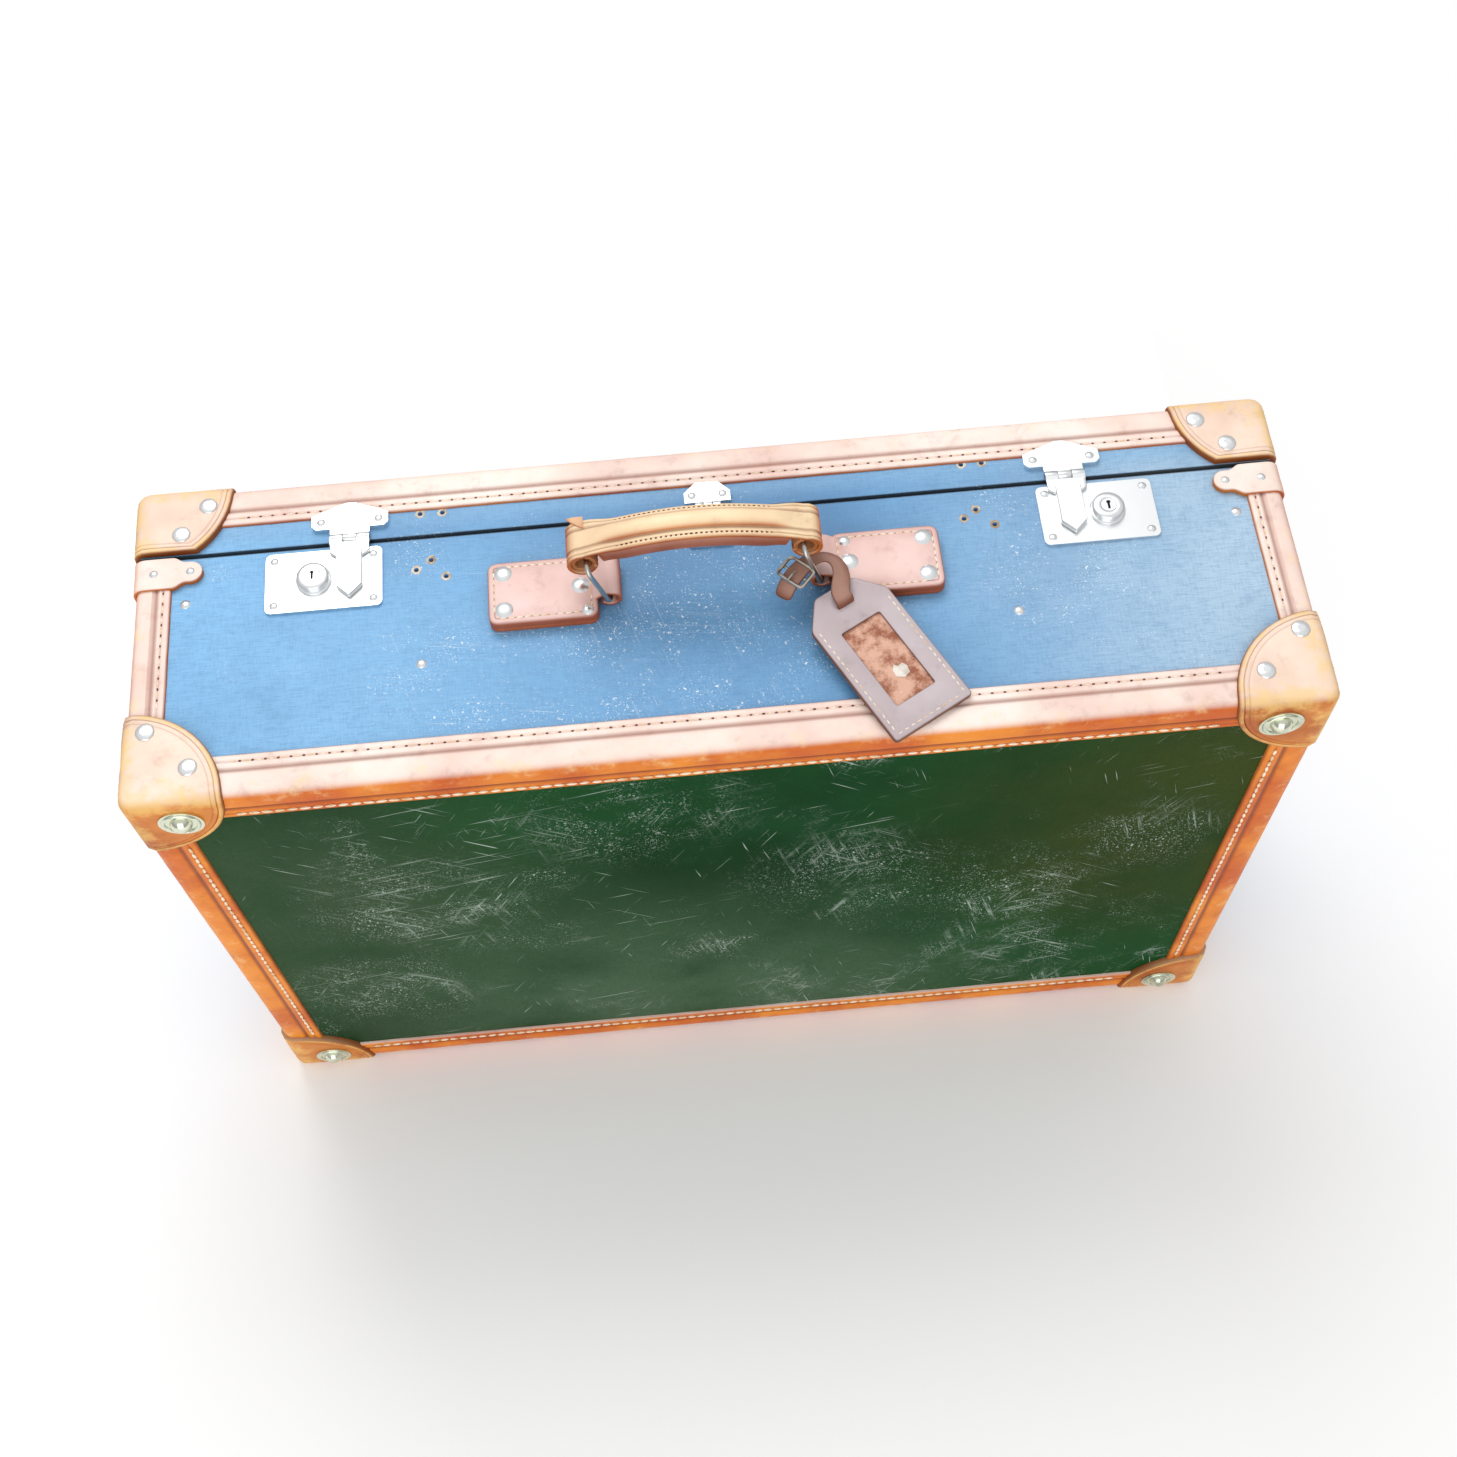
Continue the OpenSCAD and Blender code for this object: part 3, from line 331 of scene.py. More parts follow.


# Marks are (angles, length, width, amount); patches (place, inner, outer); the painted sheen patches also have a
# tone
# Cloth of the walls: the case's dark canvas, coloured blue by painted sky reflection
SKY_REFLECTION_CLOTH = coated_cloth(
    "sky_reflection_cloth", (70, 120, 166), (114, 170, 216), (232, 243, 248),
    marks=[((0, 0, 8), 50 * MM, 0.8 * MM, 0.27), ((0, 0, 72), 30 * MM, 0.7 * MM, 0.26)],
    patches=[((-0.05, -0.045, TOP_Z), 0.03, 0.13), ((0.02, -0.02, TOP_Z), 0.02, 0.08),
             ((-0.16, -0.03, TOP_Z), 0.01, 0.06), ((0.2, -0.01, TOP_Z), 0.01, 0.07),
             ((-0.17, 0.05, TOP_Z), 0.005, 0.03), ((0.17, 0.05, TOP_Z), 0.005, 0.03)],
    sheen_patches=[((-0.34, -0.05, TOP_Z), 0.08, 0.32, (134, 190, 234)),
            ((0.36, 0, TOP_Z), 0.05, 0.3, (178, 206, 228))],
    # The rim gives the seam, a lighter lid tone and the colour of the painted seam shadow
    specular=0.35, smears=0.3, rim=(SEAM_Y, (136, 182, 220), (12, 16, 22)))
# Cloth of the panels: the same dark canvas, coloured green by painted grass reflection
GRASS_REFLECTION_CLOTH = coated_cloth(
    "grass_reflection_cloth", (6, 48, 18), (26, 76, 38), (190, 204, 192),
    marks=[((90, 0, 14), 60 * MM, 1.4 * MM, 0.31), ((90, 0, 62), 45 * MM, 1.2 * MM, 0.31),
           ((90, 0, -38), 50 * MM, 1.3 * MM, 0.31), ((90, 0, 104), 40 * MM, 1.2 * MM, 0.3)],
    patches=[((-0.2, FRONT_Y, 0.26), 0.02, 0.1), ((-0.06, FRONT_Y, 0.37), 0.02, 0.09),
             ((0.07, FRONT_Y, 0.25), 0.02, 0.09), ((0.17, FRONT_Y, 0.2), 0.02, 0.1),
             ((-0.24, FRONT_Y, 0.13), 0.02, 0.09), ((0.25, FRONT_Y, 0.27), 0.01, 0.07),
             ((0.2, FRONT_Y, 0.1), 0.01, 0.07)],
    sheen_patches=[((-0.3, FRONT_Y, 0.25), 0.05, 0.28, (60, 82, 56)),
            ((-0.05, FRONT_Y, 0.02), 0.06, 0.3, (76, 102, 76)),
            ((0.3, FRONT_Y, 0.3), 0.05, 0.25, (58, 70, 24))],
    specular=0.02, smears=0.8)

# Hides: dark, mid and pale tones, a painted top-light tone for upward faces, worn by rubbing
TAN_HIDE = hide("tan_hide", (136, 62, 34), (204, 90, 2), (238, 142, 32), (252, 237, 228), (254, 224, 170),
                0.08, 0.1)
CAP_HIDE = hide("cap_hide", (132, 58, 14), (170, 80, 16), (216, 130, 44), (252, 229, 211), (252, 212, 132),
                0.1, 0.23)
PAD_HIDE = hide("pad_hide", (130, 56, 30), (176, 84, 44), (198, 110, 68), (244, 214, 208), (252, 232, 222), 0.1)
GRIP_HIDE = hide("grip_hide", (118, 52, 18), (186, 88, 22), (226, 136, 62), (252, 230, 190), (255, 240, 210), 0.2)
CORE_HIDE = hide("core_hide", (92, 42, 26), (150, 78, 46), (178, 106, 74), (206, 152, 132), (220, 166, 134))
TAG_HIDE = hide("tag_hide", (78, 40, 24), (132, 78, 52), (158, 112, 88), (212, 201, 206), (228, 214, 212))
STRAP_HIDE = hide("strap_hide", (66, 32, 20), (112, 58, 36), (138, 80, 54), (176, 136, 120), (204, 170, 152))
RAW_EDGE = hide("raw_edge", (120, 62, 30), (192, 114, 58), (208, 138, 82), (226, 168, 118), (230, 180, 130))

NICKEL = plated("nickel", (240, 242, 243), (202, 206, 208), 0.3)
# Dark metal for the keyhole sheet: painted shade
KEYHOLE_SHADE = plated("keyhole_shade", (34, 32, 30), (16, 15, 14), 0.5)
# Foot nickel: the green of its tone and spots is painted grass reflection
FOOT_NICKEL = plated("foot_nickel", (222, 226, 204), (96, 110, 78), 0.12, 0.3)
WIRE_STEEL = plated("wire_steel", (198, 194, 184), (110, 100, 86), 0.28)
HINGE_STEEL = plated("hinge_steel", (176, 174, 168), (92, 84, 74), 0.36)
PALE_THREAD = linen_thread("pale_thread", (252, 240, 216), (226, 188, 138))
# Awl holes: dark beads of thread finish, painted shade standing for the holes
HOLE_SHADE = linen_thread("hole_shade", (140, 84, 62), (92, 50, 36))
BACKING = torn_card("backing", (226, 178, 154), (160, 98, 72), (244, 220, 206))
BARE_BOARD = torn_card("bare_board", (226, 214, 196), (170, 142, 112), (244, 238, 226))
PAPER = torn_card("paper", (238, 232, 222), (208, 196, 182), (250, 248, 242))
LINING = plain_weave("lining", (196, 174, 136), (150, 128, 96), 0.9 * MM)
RIM_WOOD = bare_wood("rim_wood", (202, 168, 122), (150, 112, 72))


def rise(low, high, value):
    """Smooth step from 0 to 1."""
    t = min(1.0, max(0.0, (value - low) / (high - low)))
    return t * t * (3 - 2 * t)


def wobble(point, scale=60):
    """Smooth hand-made unevenness between -1 and 1 at a place."""
    return noise.noise(point * scale)


def steps(start, end, count):
    """Places from start to end, with count equal steps between them."""
    return [start + (end - start) * i / count for i in range(count + 1)]


def spread(start, end, step):
    """Even places from start to end, about a step apart."""
    return steps(start, end, max(1, round((end - start) / step)))


def neighbours(points):
    """(point before, point, point after) round a closed line."""
    return zip(points[-1:] + points[:-1], points, points[1:] + points[:1])


def circle(centre, a, b, radius, count):
    """Points round a centre, from direction a towards direction b."""
    turns = (2 * math.pi * k / count for k in range(count))
    return [centre + (a * math.cos(turn) + b * math.sin(turn)) * radius for turn in turns]


def turn_y(angle):
    """Direction in the XZ plane, from +Z towards +X."""
    return X * math.sin(angle) + Z * math.cos(angle)


def take_in(bm, part):
    """Adds a finished part to a mesh."""
    mesh = bpy.data.meshes.new("part")
    part.to_mesh(mesh)
    part.free()
    bm.from_mesh(mesh)
    bpy.data.meshes.remove(mesh)


def loft(bm, rings, crease_shades=None, rubs=None, capped=True, joined=False):
    """Skin over rings of points, each ring extruded from the one before it, added to bm."""
    part = bmesh.new()
    # The crease layer holds painted shade for grooves and edges; the rub layer marks wear
    crease_shade, rub = (part.verts.layers.float.new(layer) for layer in ("crease_shade", "rub"))
    row = [part.verts.new(p) for p in rings[0]]
    edges = [part.edges.new(pair) for pair in zip(row, row[1:] + row[:1])]
    first, rows = edges, [row]
    for ring in rings[1:]:
        made = bmesh.ops.extrude_edge_only(part, edges=edges)["geom"]
        fresh = {g for g in made if isinstance(g, bmesh.types.BMVert)}
        row = [next(e.other_vert(v) for e in v.link_edges if e.other_vert(v) in fresh) for v in row]
        edges = [g for g in made if isinstance(g, bmesh.types.BMEdge) and set(g.verts) <= fresh]
        for vert, point in zip(row, ring):
            vert.co = point
        rows.append(row)
    if capped:
        for ring_edges in (first, edges):
            bmesh.ops.contextual_create(part, geom=ring_edges)
    for layer, values in ((crease_shade, crease_shades), (rub, rubs)):
        for row, marks in zip(rows, values or []):
            for vert, mark in zip(row, marks):
                vert[layer] = mark
    if joined:
        bmesh.ops.remove_doubles(part, verts=part.verts, dist=0.01 * MM)
    take_in(bm, part)


def loft_round(bm, rings):
    """Skin over rings that come back to the first one."""
    loft(bm, rings + rings[:1], capped=False, joined=True)


def piece(name, bm, material, body, stands_for=(), sharp=38):
    """Finishes a mesh: outward faces, smooth but for sharp edges, one material, riding on a body."""
    bmesh.ops.recalc_face_normals(bm, faces=bm.faces)
    bm.normal_update()
    # Painted top light: a layer that is 1 on upward faces, for materials that paint them paler
    painted_top_light = bm.verts.layers.float.new("painted_top_light")
    for vert in bm.verts:
        vert[painted_top_light] = rise(0.3, 0.95, vert.normal.z)
    mesh = bpy.data.meshes.new(name)
    bm.to_mesh(mesh)
    bm.free()
    mesh.polygons.foreach_set("use_smooth", [True] * len(mesh.polygons))
    mesh.set_sharp_from_angle(angle=math.radians(sharp))
    mesh.materials.append(material)
    obj = bpy.data.objects.new(name, mesh)
    bpy.context.scene.collection.objects.link(obj)
    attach(obj, body)
    if stands_for:
        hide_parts(*stands_for)
    return obj


def subdivided(obj, name):
    """Rounds an object with two levels of subdivision."""
    smooth = obj.modifiers.new(name, "SUBSURF")
    smooth.levels = smooth.render_levels = 2


def binding_profile(width, groove, stitch_line):
    """(distance from the edge, relief, painted crease shade) down one face of a binding, from its rim to the
    rounding.
    """
    lip = 1.6 * MM
    marks = [(width, -1.5 * MM, 0.7), (width - 0.25 * lip, -0.7 * MM, 0.5),
             (width - 0.6 * lip, -0.2 * MM, 0.1), (width - lip, 0, 0)]
    for place, depth, half, dark in ((stitch_line, 0.45 * MM, 1.1 * MM, 0.4), (groove, 0.9 * MM, 2.2 * MM, 1.0)):
        for share, fall in ((1, 0), (0.5, 0.55), (0, 1), (-0.5, 0.55), (-1, 0)):
            marks.append((place + share * half, -fall * depth, fall * dark))
    return marks + [((groove + BIND_R) * 0.55, 0.25 * MM, 0), (BIND_R, 0.15 * MM, 0)]


def binding_strip(bm, edge, along, length, face_a, face_b, width, groove, stitch_line):
    """Leather folded over one edge of the case, with a crease and a sewn channel on each face."""
    profile = binding_profile(width, groove, stitch_line)
    section = [(d, 0.0, -face_b, h, c, rise(groove, BIND_R, d)) for d, h, c in profile]
    for step in range(1, BEND_STEPS):
        angle = math.radians(90 * step / BEND_STEPS)
        normal = -face_b * math.cos(angle) - face_a * math.sin(angle)
        a, b = BIND_R - BIND_R * math.sin(angle), BIND_R - BIND_R * math.cos(angle)
        section.append((a, b, normal, 0.1 * MM, 0, 1.0))
    section += [(0.0, d, -face_a, h, c, rise(groove, BIND_R, d)) for d, h, c in reversed(profile)]
    back = [(BIND_T, width), (BIND_T, BIND_T), (width, BIND_T)]
    rings = []
    for t in spread(0, length, STRIP_STEP):
        centre = edge + along * t
        ring = []
        for a, b, normal, relief, mark, _ in section:
            p = centre + face_a * a + face_b * b
            ragged = 0.35 * MM * wobble(p, 130) if mark == profile[0][2] else 0
            uneven = 0.14 * MM * wobble(p, 55)
            inward = face_a if a >= b else face_b
            ring.append(p + normal * (relief + uneven) + inward * ragged)
        rings.append(ring + [centre + face_a * a + face_b * b for a, b in back])
    tail = [0.0] * len(back)
    crease_shades, rubs = ([mark[i] for mark in section] + tail for i in (4, 5))
    loft(bm, rings, [crease_shades] * len(rings), [rubs] * len(rings))


def panel_edges(panel_y, gap):
    """(corner, run, direction into the panel) of a panel's four edges, short of each corner by a gap."""
    for z, way in ((TOP_Z, -Z), (LOW_Z, Z)):
        yield Vector((-HALF_W + gap, panel_y, z)), X * 2 * (HALF_W - gap), way
    for x, way in ((HALF_W, -X), (-HALF_W, X)):
        yield Vector((x, panel_y, LOW_Z + gap)), Z * (TOP_Z - LOW_Z - 2 * gap), way


def side_edges():
    """(x, z, direction in along X, direction in along Z) of the four edges between the panels."""
    for x, way_x in ((HALF_W, -X), (-HALF_W, X)):
        for z, way_z in ((TOP_Z, -Z), (LOW_Z, Z)):
            yield x, z, way_x, way_z


def panel_binding(name, node, panel_y, inward, body):
    """The binding round one panel: four strips that meet under the corner caps."""
    bm = bmesh.new()
    for corner, run, face in panel_edges(panel_y, BIND_UNDER_CAP):
        binding_strip(bm, corner, run.normalized(), run.length, inward, face, BIND_W, GROOVE, STITCH_LINE)
    piece(name, bm, TAN_HIDE, body, [node])


def side_bindings():
    """Leather along the four side edges of the base, between its caps and its seam tabs."""
    bm = bmesh.new()
    tucked = 5 * MM
    start, end = FRONT_Y + CAP_REACH - tucked, BASE_RIM_Y - 2 * tucked
    for x, z, face_x, face_z in side_edges():
        binding_strip(bm, Vector((x, start, z)), Y, end - start, face_x, face_z, SIDE_W, SIDE_GROOVE,
                      SIDE_STITCH_LINE)
    piece("side_edge_bindings", bm, TAN_HIDE, "base", ["base_side_bindings"])


def rounded(point, corner, inward, radius):
    """(point on the rounded case, outward normal) for a point on the sharp case near a corner."""
    depths = [(point - corner).dot(axis) for axis in inward]
    core = [max(d, radius) for d in depths]
    normal = sum((axis * (d - c) for axis, d, c in zip(inward, depths, core)), Vector()).normalized()
    return corner + sum((axis * c for axis, c in zip(inward, core)), Vector()) + normal * radius, normal


def corner_cap(name, node, corner, inward, depth, body):
    """Moulded cap: rings over the three faces at a corner, with a burnished rim and two creased lines."""
    # (back from the edge, height, painted crease shade) in mm, for a hide 3 mm thick
    edge_rings = [(0, -1.9, 1), (0, 1.5, 1), (0.35, 2.5, 0.9), (0.9, 2.9, 0.5), (1.7, 3.0, 0.1), (2.9, 3.0, 0),
                  (3.4, 2.5, 0.7), (3.9, 3.0, 0), (5.6, 3.05, 0), (6.2, 2.75, 0.4), (6.8, 3.05, 0),
                  (9, 3.1, 0)]
    rim, thick = 3.4, CAP_T / 3
    fan = []
    for first, second in zip(inward, inward[1:] + inward[:1]):
        for step in range(CAP_STEPS):
            angle = math.radians(90) * step / CAP_STEPS
            way = first * math.cos(angle) + second * math.sin(angle)
            fan.append((way, min(CAP_REACH, depth / max(way.dot(inward[1]), 1e-6))))
    rings, crease_shades, rubs = [], [], []

    def ring(share, back, height, mark=0, band=0.0):
        """One ring, at a share of the reach less a distance back from the edge."""
        points, worn = [], []
        for way, reach in fan:
            flat = corner + way * ((reach - back) * share)
            place, normal = rounded(flat, corner, inward, BIND_R)
            worn.append(max(band, 1 - sorted((flat - corner).dot(a) for a in inward)[1] / (20 * MM)))
            uneven = 0.12 * MM * (wobble(place, 75) - 1) if 0 < height else 0
            points.append(place + normal * (height + uneven))
        rings.append(points)
        crease_shades.append([mark] * len(fan))
        rubs.append(worn)

    for share, back in ((0.06, 0), (0.5, 0), (1, 6 * MM)):
        ring(share, back, 0.15 * MM)
    for back, height, mark in edge_rings:
        ring(1, back * MM, height * thick, mark, 0.9 if back < rim else 0.0)
    back, height, _ = edge_rings[-1]
    for share in (0.86, 0.72, 0.58, 0.45, 0.33, 0.22, 0.12, 0.05):
        ring(share, back * MM, height * thick)
    bm = bmesh.new()
    loft(bm, rings, crease_shades, rubs)
    piece(name, bm, CAP_HIDE, body, [node])


def stitch(bm, place, along, normal, length, radius):
    """One sewn stitch: a small bead of thread, a little askew."""
    along = (along + normal.cross(along) * rng.uniform(-0.12, 0.12)).normalized()
    turn = Matrix((normal.cross(along), normal, along)).transposed().to_4x4()
    size = Matrix.Diagonal((radius, radius * 0.8, length / 2 * rng.uniform(0.9, 1.06), 1))
    bmesh.ops.create_uvsphere(bm, u_segments=6, v_segments=5, radius=1,
                              matrix=Matrix.Translation(place) @ turn @ size)


def stitch_row(threads, holes, start, end, normal, sewing):
    """Stitches from start to end, with a dark bead of painted shade for an awl hole between each two where there
    are holes.
    """
    pitch, length, radius = sewing
    along = (end - start).normalized()
    sewn, pricked = bmesh.new(), bmesh.new()
    for i in range(int((end - start).length / pitch)):
        centre = start + along * (i + 0.5) * pitch
        stitch(sewn, centre, along, normal, length, radius)
        if holes is not None:
            stitch(pricked, centre + along * pitch / 2, along, normal, AWL_L, AWL_R)
    take_in(threads, sewn)
    if holes is None:
        pricked.free()
    else:
        take_in(holes, pricked)


def binding_stitches(name, body, panel_y, inward, with_sides):
    """Sewing on both faces of a panel binding: long stitches on the panel, short ones on the walls."""
    threads, holes = bmesh.new(), bmesh.new()
    off, far = 0.3 * MM, CAP_REACH + 2 * MM
    for corner, run, way in panel_edges(panel_y, far):
        on_panel = corner + way * STITCH_LINE - inward * off
        stitch_row(threads, None, on_panel, on_panel + run, -inward, PANEL_SEWING)
        on_wall = corner + inward * STITCH_LINE + way * off
        stitch_row(threads, holes, on_wall, on_wall + run, -way, WALL_SEWING)
    if with_sides:
        start, end = FRONT_Y + far, BASE_RIM_Y - TAB_W - 2 * MM
        for x, z, way_x, way_z in side_edges():
            for way, other in ((way_x, way_z), (way_z, way_x)):
                sewn = Vector((x, start, z)) + way * SIDE_STITCH_LINE + other * off
                stitch_row(threads, holes, sewn, sewn + Y * (end - start), -other, SIDE_SEWING)
    piece(name + "_thread", threads, PALE_THREAD, body)
    piece(name + "_holes", holes, HOLE_SHADE, body)


def strap_section(width, thickness):
    """(across, out, painted crease shade) round a flat strap with rounded edges."""
    w, t, r = width / 2, thickness / 2, 0.5 * MM
    right = [(w - r, -t, 0.2), (w, -t * 0.4, 0.5), (w, t * 0.4, 0.5), (w - r, t, 0.1), (w - 3 * r, t, 0)]
    middle = [(w * q, t, 0) for q in (0.6, 0.3, 0, -0.3, -0.6)]
    return right + middle + [(-across, out, mark) for across, out, mark in reversed(right)]


def rib_section(width, thickness, rib, drop):
    """(across, out, painted crease shade) round the grip strap: a padded rib between sloping flanges that carry
    the sewing.
    """
    w, t, half_rib = width / 2, thickness / 2, 5.4 * MM

    def middle(across):
        return -drop * max(0.0, (across - half_rib) / (w - half_rib)) ** 2

    marks = [(w - 0.5 * MM, -t, 0.2), (w, -0.4 * t, 0.5), (w, 0.4 * t, 0.5), (w - 0.5 * MM, t, 0.2),
             (w - 1.5 * MM, t, 0), (w - 2.2 * MM, t - 0.4 * MM, 0.8), (w - 2.9 * MM, t, 0),
             ((w + half_rib) / 2 - 0.5 * MM, t, 0), (half_rib + 0.4 * MM, t - 0.3 * MM, 0.9)]
    right = [(across, middle(across) + out, mark) for across, out, mark in marks]
    top = [(half_rib * q, t + rib * math.sqrt(1 - q * q), 0.3 if abs(q) > 0.9 else 0)
           for q in (0.97, 0.88, 0.7, 0.4, 0, -0.4, -0.7, -0.88, -0.97)]
    return right + top + [(-across, out, mark) for across, out, mark in reversed(right)]


def strap(bm, path):
    """Leather strap along a path of (centre, outward direction, section), all across Y."""
    rings = [[centre + Y * a + out * (o + 0.12 * MM * wobble(centre + Y * a, 90)) for a, o, _ in section]
             for centre, out, section in path]
    loft(bm, rings, [[mark for _, _, mark in section] for _, _, section in path])


def grip():
    """Carrying grip: a padded strap that rolls round both rings, over a stuffed core."""
    half_span = LOOP.x
    radius = (half_span ** 2 + GRIP_RISE ** 2) / (2 * GRIP_RISE)
    half = math.asin(half_span / radius)
    left, right = EYE, EYE + X * 2 * half_span
    centre = (left + right) / 2 - Z * radius * math.cos(half)
    strap_t, flat_rib = 2.4 * MM, 0.05 * MM
    low, high = GRIP_H / 6 + strap_t / 2, EYE_R + 0.6 * MM
    sags = {-1: 1.2 * MM, 1: 2.6 * MM}
    wraps, rolls = [], bmesh.new()
    flat = strap_section(EYE_L - 2.2 * MM, 2 * MM)
    for end, sign in ((left, -1), (right, 1)):
        middle = end + X * sign * 1.5 * MM - Z * sags[sign]
        wrap, roll = [], []
        for step, turn in enumerate(steps(0, math.radians(238), 14)):
            out = turn_y(sign * (half + turn))
            section = rib_section(EYE_L - 1.5 * MM * rise(9, 14, step), strap_t, flat_rib, 0)
            wrap.append((middle + out * (high - 1.1 * MM * rise(8, 14, step)), out, section))
        wraps.append(wrap)
        for turn, grown in zip(steps(20, 350, 18), steps(0, 0.3 * MM, 18)):
            out = turn_y(sign * math.radians(turn))
            roll.append((middle + out * (high - 2.4 * MM + grown), out, flat))
        strap(rolls, roll)
    arc = []
    for t in spread(-0.985, 0.985, 0.045):
        lift = low + (high - sags[1 if t > 0 else -1] - low) * rise(0.6, 0.985, abs(t))
        full = 1 - rise(0.66, 0.95, abs(t))
        wide = GRIP_W + 1.5 * MM + (EYE_L - GRIP_W - 1.5 * MM) * rise(0.7, 0.97, abs(t))
        section = rib_section(wide, strap_t, flat_rib + 4 * MM * full, 1.6 * MM * full)
        way = turn_y(t * half)
        arc.append((centre + way * (radius + lift), way, section))
    bm = bmesh.new()
    strap(bm, list(reversed(wraps[0])) + arc + wraps[1])
    torn = left + Z * high + Y * (EYE_L / 2 - 1 * MM)
    ear = [(0, 4.5, 1.2), (-3, 3.6, 1.1), (-6.5, 2, 0.8), (-9, 0.4, 0.4)]
    loft(bm, [[torn + (X * dx + Y * (-0.35 * dx + across * wide) + Z * (0.12 * dx + up * thick)) * MM
               for across, up in ((-1, -1), (0.6, -1), (0.6, 1), (-1, 1))] for dx, wide, thick in ear])
    piece("grip_strap", bm, GRIP_HIDE, "grip", ["grip_cover"])
    piece("grip_rolls", rolls, RAW_EDGE, "grip")

    rings = []
    reach = half - math.asin((EYE_R + 0.4 * MM) / radius)
    core_w, top, shoulder = GRIP_W / 2 + 0.2 * MM, GRIP_H / 6 + 0.6 * MM, 1.6 * MM
    deep = GRIP_H * 0.8 - shoulder
    for t in spread(-1, 1, 0.06):
        way = turn_y(t * reach)
        slim = 1 - 0.12 * rise(0.7, 1, abs(t))
        ring = []
        for angle in steps(0, math.pi, 16):
            across = core_w * slim * math.copysign(abs(math.cos(angle)) ** 0.4, math.cos(angle))
            down = top - shoulder - deep * slim * abs(math.sin(angle)) ** 0.5
            p = centre + way * (radius + down) + Y * across
            ring.append(p + way * 0.25 * MM * wobble(p, 80))
        rings.append(ring)
    bm = bmesh.new()
    loft(bm, rings)
    stuffing = piece("grip_stuffing", bm, CORE_HIDE, "grip", ["grip_core"])

    threads, holes = bmesh.new(), bmesh.new()
    for side in (-1, 1):
        for t in spread(-0.72, 0.72, 0.043):
            way = turn_y(t * half)
            p = centre + way * (radius + low + strap_t / 2 - 1.0 * MM) + Y * side * (GRIP_W / 2 - 1.45 * MM)
            tangent, out = way.cross(Y), (way + Y * side * 0.4).normalized()
            stitch(threads, p, tangent, out, 3.0 * MM, 0.5 * MM)
            stitch(holes, p + tangent * 2.6 * MM, tangent, out, AWL_L, 0.7 * MM)
    piece("grip_thread", threads, PALE_THREAD, "grip")
    piece("grip_holes", holes, HOLE_SHADE, "grip")


def ring_wire(name, node, foot, head, body):
    """Wire ring: a round rod bent to a rectangle with round corners."""
    leg, bend = 16.7 * MM, 6 * MM
    up, length = (head - foot).normalized(), (head - foot).length
    side, end = leg - bend, length - bend
    rings = []
    for y, z, start in ((-side, bend, 180), (side, bend, 270), (side, end, 0), (-side, end, 90)):
        for angle in steps(math.radians(start), math.radians(start + 90), 6):
            out = Y * math.cos(angle) + up * math.sin(angle)
            rings.append(circle(foot + Y * y + up * z + out * bend, out, up.cross(Y), WIRE_R, 10))
    bm = bmesh.new()
    loft_round(bm, rings)
    piece(name, bm, WIRE_STEEL, body, [node])


def round_outline(points, radius, count=5):
    """Closed outline through (x, y) points, with each corner turned into a curve."""
    outline = []
    for before, corner, after in neighbours([Vector(p) for p in points]):
        a = corner + (before - corner).normalized() * radius
        b = corner + (after - corner).normalized() * radius
        outline += [a * (1 - t) ** 2 + corner * 2 * t * (1 - t) + b * t * t for t in steps(0, 1, count)]
    return outline


def box_outline(half_x, half_y, radius, count=5):
    """Rounded rectangle about the origin."""
    corners = ((-half_x, -half_y), (half_x, -half_y), (half_x, half_y), (-half_x, half_y))
    return round_outline(corners, radius, count)


def inset(outline, gap):
    """Outline moved inwards by a gap; it runs anticlockwise."""
    ways = ((point, after - before) for before, point, after in neighbours(outline))
    return [point + Vector((-way.y, way.x)).normalized() * gap for point, way in ways]


def slab_rings(outline, levels, place):
    """Rings of a slab: for each (inset, height) in mm, the outline put in place."""
    return [[place @ Vector((p.x, p.y, height * MM)) for p in inset(outline, gap * MM)] for gap, height in levels]


